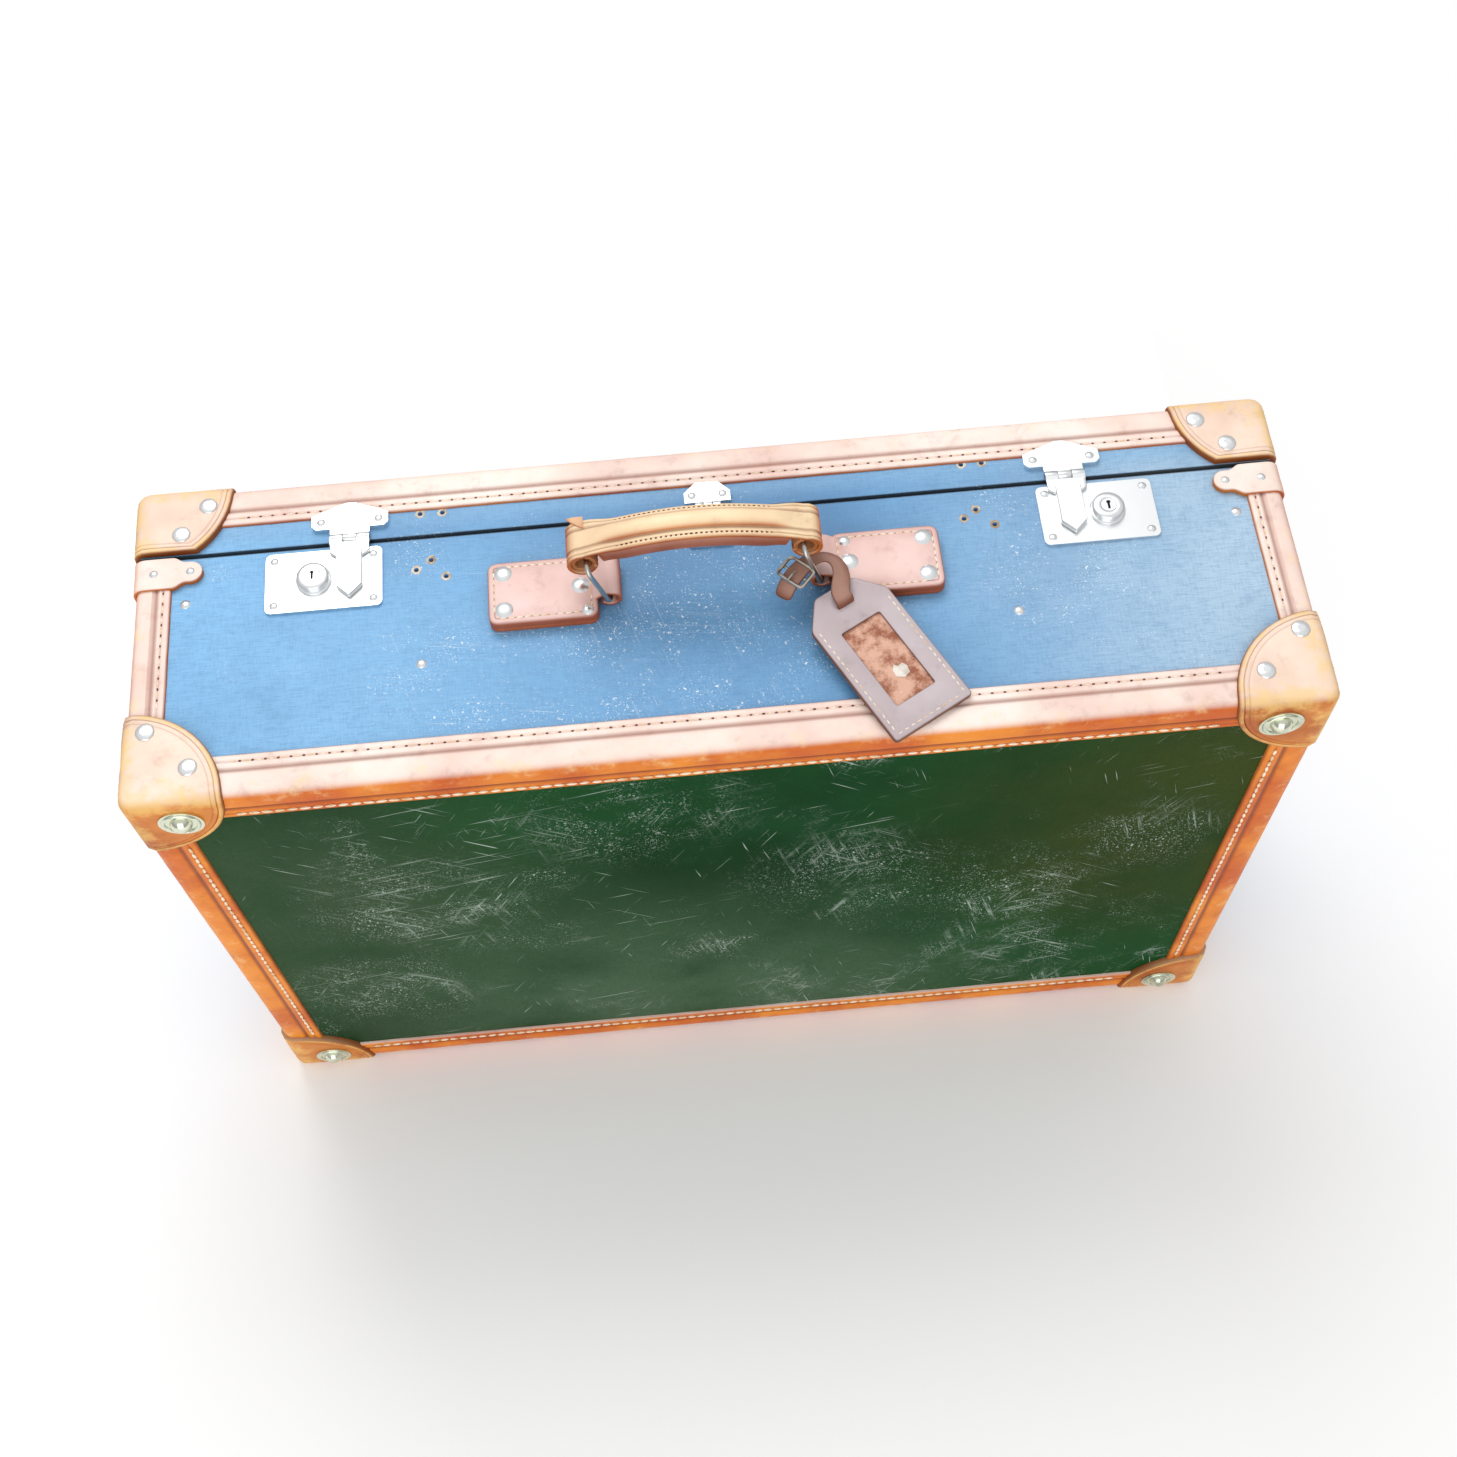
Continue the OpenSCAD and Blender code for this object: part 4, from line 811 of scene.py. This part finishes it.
def handle_pads():
    """Sewn leather pads, each with a strap rolled round its ring."""
    bm, threads = bmesh.new(), bmesh.new()
    length, strap_t, sewn_in = PAD_HI.x - PAD_X0, 2.2 * MM, 3.6
    levels = [(0.4, 0), (0, 0.8), (0, 3.9), (0.35, 4.4), (0, 4.9), (0, 7.6), (0.3, 8.4), (1.1, 8.95),
              (3.0, 9.0), (sewn_in, 8.6), (4.2, 9.0)]
    marks = [0.6, 0.4, 0.4, 1, 0.4, 0.5, 0.6, 0.35, 0.1, 0.9, 0.05, 0, 0]
    outline = box_outline(length / 2, PAD_W / 2, 6 * MM)
    turn, flat = LOOP_R - strap_t / 2, strap_section(LOOP_L, strap_t)
    for side in (-1, 1):
        middle = Vector((side * (PAD_X0 + length / 2), (PAD_LO.y + PAD_HI.y) / 2, BOARD_Z))
        rings = slab_rings(outline, levels, Matrix.Translation(middle))
        edge = rings[-1]
        for share in (0.6, 0.25):
            rings.append([(middle + Z * PAD_T).lerp(p, share) + Z * 0.3 * MM * (1 - share) for p in edge])
        loft(bm, rings, [[m] * len(outline) for m in marks])

        loop = Vector((side * LOOP.x, LOOP.y, LOOP.z))
        root = Vector((side * (PAD_X0 + 1.5 * MM), loop.y, BOARD_Z)) + Z * (PAD_T - strap_t * 0.35)
        lead = loop + turn_y(side * math.radians(28)) * turn
        path = [(root + X * side * 3 * MM - Z * 0.4 * MM, Z, flat), (root, Z, flat),
                (root.lerp(lead, 0.5) + Z * 0.4 * MM, turn_y(side * math.radians(16)), flat)]
        for degrees in steps(-28, 240, 16):
            out = turn_y(-side * math.radians(degrees))
            path.append((loop + out * turn, out, flat))
        strap(bm, path)
        sewn = inset(outline, sewn_in * MM)
        for a, b in zip(sewn, sewn[1:] + sewn[:1]):
            if (b - a).length >= 8 * MM:
                start, end = (middle + Vector((p.x, p.y, PAD_T - 0.1 * MM)) for p in (a, b))
                stitch_row(threads, None, start, end, Z, PAD_SEWING)
    piece("pad_hides", bm, PAD_HIDE, "base", ["handle_pads"])
    piece("pad_thread", threads, PALE_THREAD, "base")


def tag_place():
    """Frame of the tag: origin at the middle of its top end, length towards -Y."""
    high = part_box("tag_leather")[1].z
    origin = TAG_PIVOT + TAG_REACH * (X * math.sin(TAG_TURN) - Y * math.cos(TAG_TURN))
    origin.z = high - TAG_T * math.cos(TAG_SLOPE)
    return Matrix.Translation(origin) @ Matrix.Rotation(TAG_TURN, 4, "Z") @ Matrix.Rotation(TAG_SLOPE, 4, "X")


def luggage_tag():
    """Two sewn layers of dark hide with a window, a torn backing and a scrap of paper."""
    place = tag_place()
    w, top, shoulder = TAG_W / 2, 13 * MM, 16 * MM
    corners = [(-w, -TAG_L), (w, -TAG_L), (w, -shoulder), (top, 0), (-top, 0), (-w, -shoulder)]
    outline = round_outline(corners, 2.5 * MM)
    half, far, near = WINDOW_W / 2, -WINDOW_AT - WINDOW_L, -WINDOW_AT
    window = round_outline([(-half, far), (half, far), (half, near), (-half, near)], 1.2 * MM, 3)
    edge_levels = [(0.5, 0), (0, 0.5), (0, 1.7), (0.4, 2.0), (0, 2.3), (0, 3.4), (0.3, 3.8), (0.9, 4.0)]
    window_levels = [(-0.5, 4.0), (0, 3.7), (0, 2.0)]
    bm = bmesh.new()
    for line, levels, marks in ((outline, edge_levels, (0.6, 0.5, 0.5, 1, 0.5, 0.6, 0.6, 0.25)),
                                (window, window_levels, (0.2, 0.6, 0.8))):
        loft(bm, slab_rings(line, levels, place), [[m] * len(line) for m in marks], capped=False)
    to_tag, rims = place.inverted(), {}
    for edge in bm.edges:
        if edge.is_boundary:
            rims.setdefault(round((to_tag @ edge.verts[0].co).z / MM, 2), []).append(edge)
    bmesh.ops.triangle_fill(bm, edges=rims[4.0], use_beauty=True)
    for height in (0.0, 2.0):
        bmesh.ops.contextual_create(bm, geom=rims[height])
    piece("tag_hides", bm, TAG_HIDE, "tag", ["tag_leather"])

    bm = bmesh.new()
    bmesh.ops.create_grid(bm, x_segments=26, y_segments=52, size=0.5,
                          matrix=Matrix.Diagonal((WINDOW_W, WINDOW_L, 1, 1)))
    bmesh.ops.translate(bm, verts=bm.verts, vec=Vector((0, -WINDOW_AT - WINDOW_L / 2, 2.35 * MM)))
    for vert in bm.verts:
        vert.co.z += 0.3 * MM * wobble(vert.co, 400)
    bmesh.ops.transform(bm, matrix=place, verts=bm.verts)
    piece("tag_backing", bm, BACKING, "tag", ["tag_card"])

    scrap = [(-2.5, -63), (1.5, -66), (5.5, -65), (6.5, -61), (5, -58), (2, -58.5), (0.5, -56.5), (-2, -59)]
    bm = bmesh.new()
    loft(bm, slab_rings([Vector(p) * MM for p in scrap], [(0, 2.3), (0, 2.9), (0.3, 3.0)], place))
    piece("tag_scrap", bm, PAPER, "tag")

    threads = bmesh.new()
    margin, start_gap = 3.2 * MM, 2 * MM
    side, first, last = w - margin, -shoulder - start_gap, margin - TAG_L
    sewn = [place @ Vector((x, y, TAG_T)) for x, y in ((-side, first), (-side, last), (side, last), (side, first))]
    for start, end in zip(sewn, sewn[1:]):
        stitch_row(threads, None, start, end, place.to_3x3() @ Z, TAG_SEWING)
    piece("tag_thread", threads, PALE_THREAD, "tag")


def headings(points):
    """Direction of an open line at each of its points."""
    ends = zip(points[:1] + points[:-1], points[1:] + points[-1:])
    return [(after - before).normalized() for before, after in ends]


def tag_strap():
    """Strap of the tag: out of the slot, flat over the tag, round the ring wire and through a wire buckle."""
    middle = Vector((TAG_PIVOT.x, TAG_PIVOT.y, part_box("tag_strap")[1].z - STRAP_W / 2))
    way = X * math.sin(TAG_TURN) - Y * math.cos(TAG_TURN)
    # (place in mm from the middle, direction that the outside of the strap faces)
    route = [(way * 21.5 - Z * 12, way), (way * 21.5 - Z * 7.5, way), (way * 21 - Z * 5, way + Z * 0.8),
             (way * 19 - Z * 3.9, Z), (way * 15.5 - Z * 3.2, Z)]
    route += [(Vector(place), Vector(out)) for place, out in (
        ((9, -8, -1.6), (0.3, 0, 1)), ((10.2, -1.5, 0), (0.5, 0, 0.85)), ((7.5, 5.5, 0.8), (0.25, 0.4, 0.85)),
        ((1.5, 8.6, 1), (0, 0.5, 0.85)), ((-5, 7.4, 1), (0, 0.4, 0.9)), ((-11, 3.6, 0.6), (0, 0.1, 1)),
        ((-15.5, -0.5, 0), (0, 0, 1)), ((-19.5, -5.5, -0.6), (0, 0, 1)), ((-22.5, -10, -2), (-0.3, 0, 1)),
        ((-24.5, -14, -4.6), (-0.7, -0.5, 1)))]
    points = [middle + place * MM for place, _ in route]
    h, t, r = STRAP_W / 2, STRAP_T / 2, 0.4 * MM
    section = [(-h, -t * 0.5, 0.4), (-h + r, -t, 0.1), (h - r, -t, 0.1), (h, -t * 0.5, 0.4), (h, t * 0.5, 0.4),
               (h - r, t, 0.1), (0, t * 1.1, 0), (-h + r, t, 0.1), (-h, t * 0.5, 0.4)]
    rings = []
    for point, along, (_, facing) in zip(points, headings(points), route):
        out = (facing - along * facing.dot(along)).normalized()
        side = along.cross(out)
        ragged = 2.2 * MM if point is points[-1] else 0
        rings.append([point + side * v + out * o + along * ragged * wobble(point + side * v, 300)
                      for v, o, _ in section])
    bm = bmesh.new()
    loft(bm, rings, [[mark for _, _, mark in section]] * len(rings))
    subdivided(piece("tag_band", bm, STRAP_HIDE, "tag", ["tag_strap"]), "supple")

    at, wire = 11, 1.1 * MM
    along = (points[at + 1] - points[at - 1]).normalized()
    across = along.cross(Z).normalized()
    lift = across.cross(along)
    heart = points[at] + lift * 0.6 * MM
    rings = []
    for before, spot, after in neighbours(box_outline(6.5 * MM, 8.5 * MM, 3 * MM, 4)):
        way = (after - before).normalized()
        arch = lift * 1.6 * MM * math.cos(math.pi * spot.y / (19 * MM))
        centre = heart + along * spot.x + across * spot.y + arch
        rings.append(circle(centre, along * way.y - across * way.x, lift, wire, 8))
    bm = bmesh.new()
    loft_round(bm, rings)
    bar = [across * y * 8.5 - lift * 1.4 for y in (-1, -0.5, 0, 0.5, 1)]
    prong = [along * x + lift * z for x, z in ((-0.8, 0.2), (0.6, 1.9), (3, 2.6), (6, 2.9), (7.6, 2.4))]
    for line, thick, side in ((bar, 0.9, along), (prong, 0.75, across)):
        loft(bm, [circle(heart + spot * MM, side, side.cross(way), thick * MM, 8)
                  for spot, way in zip(line, headings(line))])
    piece("buckle_wire", bm, WIRE_STEEL, "tag", ["tag_buckle"])


def hasp_blade(name, node, body, width, tongue, length):
    """Hasp: a stamped blade with a raised tongue and two rolled knuckles on its pin."""
    pin = Vector(JOINTS[body + "_flip"]["pos_m"])
    neck, back, w, n = -length / 4, -2.9 * MM, width / 2, tongue / 2
    blade = [(w, back), (-w, back), (-w, neck), (-n, neck - 3 * MM), (n, neck - 3 * MM), (w, neck)]
    raised = [(n, neck + 1.5 * MM), (-n, neck + 1.5 * MM), (-n, n - length), (0, -length), (n, n - length)]
    place = Matrix.Translation(Vector((pin.x, pin.y, PLATE_Z + 0.4 * MM)))
    bm = bmesh.new()
    for outline, levels in ((blade, [(0.3, 0), (0, 0.3), (0, 1.5), (0.2, 1.85), (0.5, 2.0)]),
                            (raised, [(0.3, 0), (0, 0.3), (0, 2.6), (0.2, 3.2), (0.5, 3.5)])):
        rings = slab_rings(round_outline(outline, 0.9 * MM, 3), levels, place)
        middle = sum(rings[-1], Vector()) / len(rings[-1])
        loft(bm, rings + [[middle.lerp(p, 0.9) for p in rings[-1]]])
    knuckle = width / 3 - 0.3 * MM
    ends = [(-0.5, 2.2), (-0.48, 2.5), (-0.44, 2.6), (0.44, 2.6), (0.48, 2.5), (0.5, 2.2)]
    web = ((0, -0.3), (-4.5, -0.3), (-4.5, 1.6), (0, 2.5))
    for side in (-1, 1):
        middle = pin + X * side * (width - knuckle) / 2
        loft(bm, [circle(middle + X * share * knuckle, Y, Z, r * MM, 18) for share, r in ends])
        loft(bm, [[middle + X * share * knuckle + (Y * y + Z * z) * MM for y, z in web] for share in (-0.5, 0.5)])
    piece(name, bm, NICKEL, body, [node])


def lock_knob(name):
    """Round knob: a flanged foot, a waist and a bevelled top with a well for the key plug."""
    lo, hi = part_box(f"knob_{name}")
    plug_lo, plug_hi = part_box(f"key_plug_{name}")
    centre = Vector(JOINTS[f"key_{name}_turn"]["pos_m"])
    base = PLATE_Z + 0.1 * MM
    rim, well, top = (hi.x - lo.x) / 2, (plug_hi.x - plug_lo.x) / 2 + 0.15 * MM, hi.z - base
    # In mm: (in from the rim, up), (in from the rim, below the top), (out from the well, below the top)
    foot = ((0.4, 0), (0, 0.4), (0, 1.1), (0.4, 1.5), (1.2, 1.7), (1.5, 2.2), (1.2, 2.7), (0.9, 3.0))
    bevel = ((0.9, 1.6), (1.3, 0.8), (2.2, 0.3), (3.4, 0.05), (3.9, 0))
    mouth = ((0.4, 0), (0.1, 0.1), (0, 0.4))
    profile = [(well, 0)] + [(rim - d * MM, z * MM) for d, z in foot]
    profile += [(rim - d * MM, top - z * MM) for d, z in bevel] + [(well + d * MM, top - z * MM) for d, z in mouth]
    bm = bmesh.new()
    loft_round(bm, [circle(Vector((centre.x, centre.y, base + z)), X, Y, r, 48) for r, z in profile])
    piece(f"lock_knob_{name}", bm, NICKEL, f"knob_{name}", [f"knob_{name}"])
    # The keyhole is a thin dark sheet on the key plug: painted shade standing for the hole
    half_slit = ((0.6, -2.6), (0.6, 0.9), (1.2, 1.5), (1.2, 2.3), (0.6, 2.9))
    slit = [Vector(p) * MM for p in half_slit] + [Vector((-x, y)) * MM for x, y in reversed(half_slit)]
    bm = bmesh.new()
    loft(bm, slab_rings(slit, [(0, -0.5), (0, 0.02), (0.1, 0.05)],
                        Matrix.Translation(Vector((centre.x, centre.y, plug_hi.z)))))
    piece(f"keyhole_{name}", bm, KEYHOLE_SHADE, f"key_{name}")


def seam_tabs():
    """Leather tabs over the side edges at the base rim, with a rounded tongue at each end."""
    lo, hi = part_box("seam_tabs")
    bend = BIND_R + TAB_T
    reach = TAB_L - bend
    places = [u * MM for u in (0.1, 0.7, 1.8, 3.5, 5.2)] + spread(7 * MM, reach, 1.6 * MM)
    bm = bmesh.new()

    def section(u):
        """(section, height of its middle over the bend's centre) at a distance from the tip."""
        end = math.sqrt(max(0.0, TONGUE_R ** 2 - max(0.0, TONGUE_R - u) ** 2))
        wide = 2 * max(end, 0.6 * MM) + (TAB_W - 2 * TONGUE_R) * rise(10 * MM, 17 * MM, u)
        thick = TAB_T + (BIND_T - 0.2 * MM) * (1 - rise(18 * MM, 22 * MM, u))
        return strap_section(wide, thick), bend - thick / 2

    def flat(corner, u, out, along):
        form, height = section(u)
        return corner + along * (u - reach) + out * height, out, form

    for side in (-1, 1):
        for up, edge_z, y in ((1, TOP_Z, hi.y - TAB_W / 2), (-1, LOW_Z, lo.y + TAB_W / 2)):
            corner = Vector((side * (HALF_W - BIND_R), y, edge_z - up * BIND_R))
            over, aside = Z * up, X * side
            path = [flat(corner, u, over, aside) for u in places]
            form, height = section(TAB_L)
            for step in range(1, BEND_STEPS):
                angle = math.radians(90 * step / BEND_STEPS)
                out = over * math.cos(angle) + aside * math.sin(angle)
                path.append((corner + out * height, out, form))
            strap(bm, path + [flat(corner, u, aside, over) for u in reversed(places)])
    piece("seam_tab_hides", bm, TAN_HIDE, "base", ["seam_tabs"])


def screw_hole_rims():
    """Chipped edges of the old screw holes, where the bare board shows."""
    # In mm from the middle of the case along X and from the seam along Y
    holes = {"base": [(-170.6, -22.4), (-162, -16.4), (-153.5, -28.3), (146.6, -20.4), (154.2, -14.8),
                      (163.6, -26.1)],
             "lid": [(-168, 16.3), (-155, 16), (150.2, 17.6), (162.3, 17.6)]}
    rims = ((1.4, -0.4, 0), (1.5, 0.1, 0), (1.8, 0.25, 0.3), (2.1, 0.12, 0.8), (2.2, -0.1, 0.8))
    ways = circle(Vector(), X, Y, 1, 24)
    for body, places in holes.items():
        bm = bmesh.new()
        for x, y in places:
            hole = Vector((x * MM, SEAM_Y + y * MM, BOARD_Z))
            chips = [1 + wobble(hole * 7 + way, 2.2) for way in ways]
            loft(bm, [[hole + (way * (r + ragged * chip) + Z * z) * MM for way, chip in zip(ways, chips)]
                      for r, z, ragged in rims], capped=False)
        piece(f"{body}_hole_rims", bm, BARE_BOARD, body)


def boards_and_metal():
    """Finishes of the pieces that keep their CAD shape, with softened edges on the plates and round rivets."""
    walls = ("handle_wall", "hinge_wall", "left_wall", "right_wall")
    finishes = {
        SKY_REFLECTION_CLOTH: [f"{half}_{wall}" for half in ("base", "lid") for wall in walls],
        GRASS_REFLECTION_CLOTH: ["base_panel", "lid_panel"],
        RIM_WOOD: ["base_rim"],
        LINING: ["base_lining", "lid_lining"],
        FOOT_NICKEL: ["base_feet"],
        NICKEL: ["base_cap_rivets", "wall_studs", "seam_tab_rivets", "lid_cap_rivets", "lock_plates",
                 "lock_plate_rivets", "key_plug_left", "key_plug_right", "hasp_brackets", "hasp_pins",
                 "bracket_rivets", "catch_plate", "pad_rivets"],
        HINGE_STEEL: ["hinge_base_leaves", "hinge_lid_leaves", "hinge_pins", "lock_boxes", "lock_springs",
                      "bolt_left", "bolt_right"],
    }
    soft_edges = {"lock_plates": 0.6, "hasp_brackets": 0.5, "catch_plate": 0.5, "key_plug_left": 0.2,
                  "key_plug_right": 0.2}
    domes = ["base_cap_rivets", "lid_cap_rivets"]
    for material, names in finishes.items():
        for name in names:
            slots = frame["nodes"][name].data.materials
            slots.clear()
            slots.append(material)
    for name in [*soft_edges, *domes]:
        node = frame["nodes"][name]
        node.modifiers.new("join", "WELD").merge_threshold = 0.002 * MM
        if name in domes:
            subdivided(node, "dome")
        else:
            soft = node.modifiers.new("soft_edges", "BEVEL")
            soft.width, soft.segments, soft.limit_method = soft_edges[name] * MM, 2, "ANGLE"
            soft.angle_limit = math.radians(40)


def floor():
    """Pale floor. The case stands on its hinge side, so it is open behind the seam for the lid to swing down."""
    half_gap, far_gap, size = HALF_W + 90 * MM, SEAM_Y + TOP_Z + 400 * MM, 8
    bm = bmesh.new()
    bmesh.ops.create_grid(bm, x_segments=3, y_segments=3, size=size)
    for vert in bm.verts:
        if abs(vert.co.x) < size / 2:
            vert.co.x = math.copysign(half_gap, vert.co.x)
        if abs(vert.co.y) < size / 2:
            vert.co.y = far_gap if vert.co.y > 0 else SEAM_Y
    opening = [f for f in bm.faces if all(max(abs(v.co.x), abs(v.co.y)) < size / 2 for v in f.verts)]
    bmesh.ops.delete(bm, geom=opening, context="FACES_ONLY")
    mesh = bpy.data.meshes.new("floor")
    bm.to_mesh(mesh)
    bm.free()
    pale = Finish(bpy.data.materials.new("pale_floor"))
    pale.set(Base_Color=(1, 1, 1, 1), Roughness=0.9, Specular_IOR_Level=0.1)
    mesh.materials.append(pale.owner)
    return bpy.data.objects.new("floor", mesh)


def studio():
    """The floor, soft daylight from above and the camera that the object is seen from."""
    scene = bpy.context.scene
    staged = [floor()]
    for name, place, size, power in (("key", (-0.3, 1.2, 2.3), 1.3, 23), ("fill", (-0.3, -2.4, 1.3), 2.4, 26)):
        lamp = bpy.data.lights.new(name, "AREA")
        lamp.size, lamp.energy = size, power
        obj = bpy.data.objects.new(name, lamp)
        obj.location = place
        obj.rotation_euler = (Vector((0, 0, 0.25)) - Vector(place)).to_track_quat("-Z", "Y").to_euler()
        staged.append(obj)
    for obj in staged:
        scene.collection.objects.link(obj)

    scene.world = bpy.data.worlds.new("sky")
    sky = Finish(scene.world, "Background", "Generated")
    shade = sky.add("ShaderNodeMapRange", sockets={"Value": sky.along("Z"), "From Min": 0.0, "From Max": 0.8,
                                                   "To Min": 0.36, "To Max": 0.78})
    seen = sky.add("ShaderNodeLightPath", out="Is Camera Ray")
    sky.set(Color=(1, 1, 1, 1), Strength=shade.most(seen))

    stand, lens, sensor = (-0.01858, -0.57543, 1.36278), 47.28, 36
    pitch, yaw, roll = math.radians(61.984), math.radians(2.055), math.radians(3.335)
    forward = Vector((math.sin(yaw) * math.cos(pitch), math.cos(yaw) * math.cos(pitch), -math.sin(pitch)))
    level = Vector((math.cos(yaw), -math.sin(yaw), 0))
    down = forward.cross(level)
    right = level * math.cos(roll) + down * math.sin(roll)
    below = down * math.cos(roll) - level * math.sin(roll)
    camera = bpy.data.objects.new("camera", bpy.data.cameras.new("camera"))
    camera.data.lens, camera.data.sensor_width = lens, sensor
    turn = Matrix((right, -below, -forward)).transposed().to_4x4()
    camera.matrix_world = Matrix.Translation(stand) @ turn
    scene.collection.objects.link(camera)
    scene.camera = camera
    scene.view_settings.view_transform = "Standard"


panel_binding("base_edge_binding", "base_panel_binding", FRONT_Y, Y, "base")
panel_binding("lid_edge_binding", "lid_panel_binding", BACK_Y, -Y, "lid")
side_bindings()
for across, sign in ENDS:
    for height, z, face_z in (("top", TOP_Z, -Z), ("bottom", LOW_Z, Z)):
        cap, x, face_x = f"cap_{height}_{across}", sign * HALF_W, -sign * X
        seam = BACK_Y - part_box(f"lid_{cap}")[0].y
        for half, y, face_y, depth in (("base", FRONT_Y, Y, 1.0), ("lid", BACK_Y, -Y, seam)):
            corner_cap(f"{half}_moulded_{cap}", f"{half}_{cap}", Vector((x, y, z)), [face_x, face_y, face_z],
                       depth, half)
binding_stitches("base_sewing", "base", FRONT_Y, Y, True)
binding_stitches("lid_sewing", "lid", BACK_Y, -Y, False)
grip()
for across, sign in ENDS:
    foot = Vector((sign * LOOP.x, LOOP.y, LOOP.z))
    head = EYE if sign < 0 else EYE + X * 2 * LOOP.x
    ring_wire(f"wire_ring_{across}", f"ring_{across}", foot, head, f"ring_{across}")
handle_pads()
seam_tabs()
screw_hole_rims()
luggage_tag()
tag_strap()
for across, _ in ENDS:
    hasp_blade(f"hasp_blade_{across}", f"hasp_{across}", f"hasp_{across}", 23 * MM, 15 * MM, 41 * MM)
    lock_knob(across)
hasp_blade("catch_blade", "catch_hasp", "catch", 15 * MM, 11 * MM, 20 * MM)
boards_and_metal()
studio()
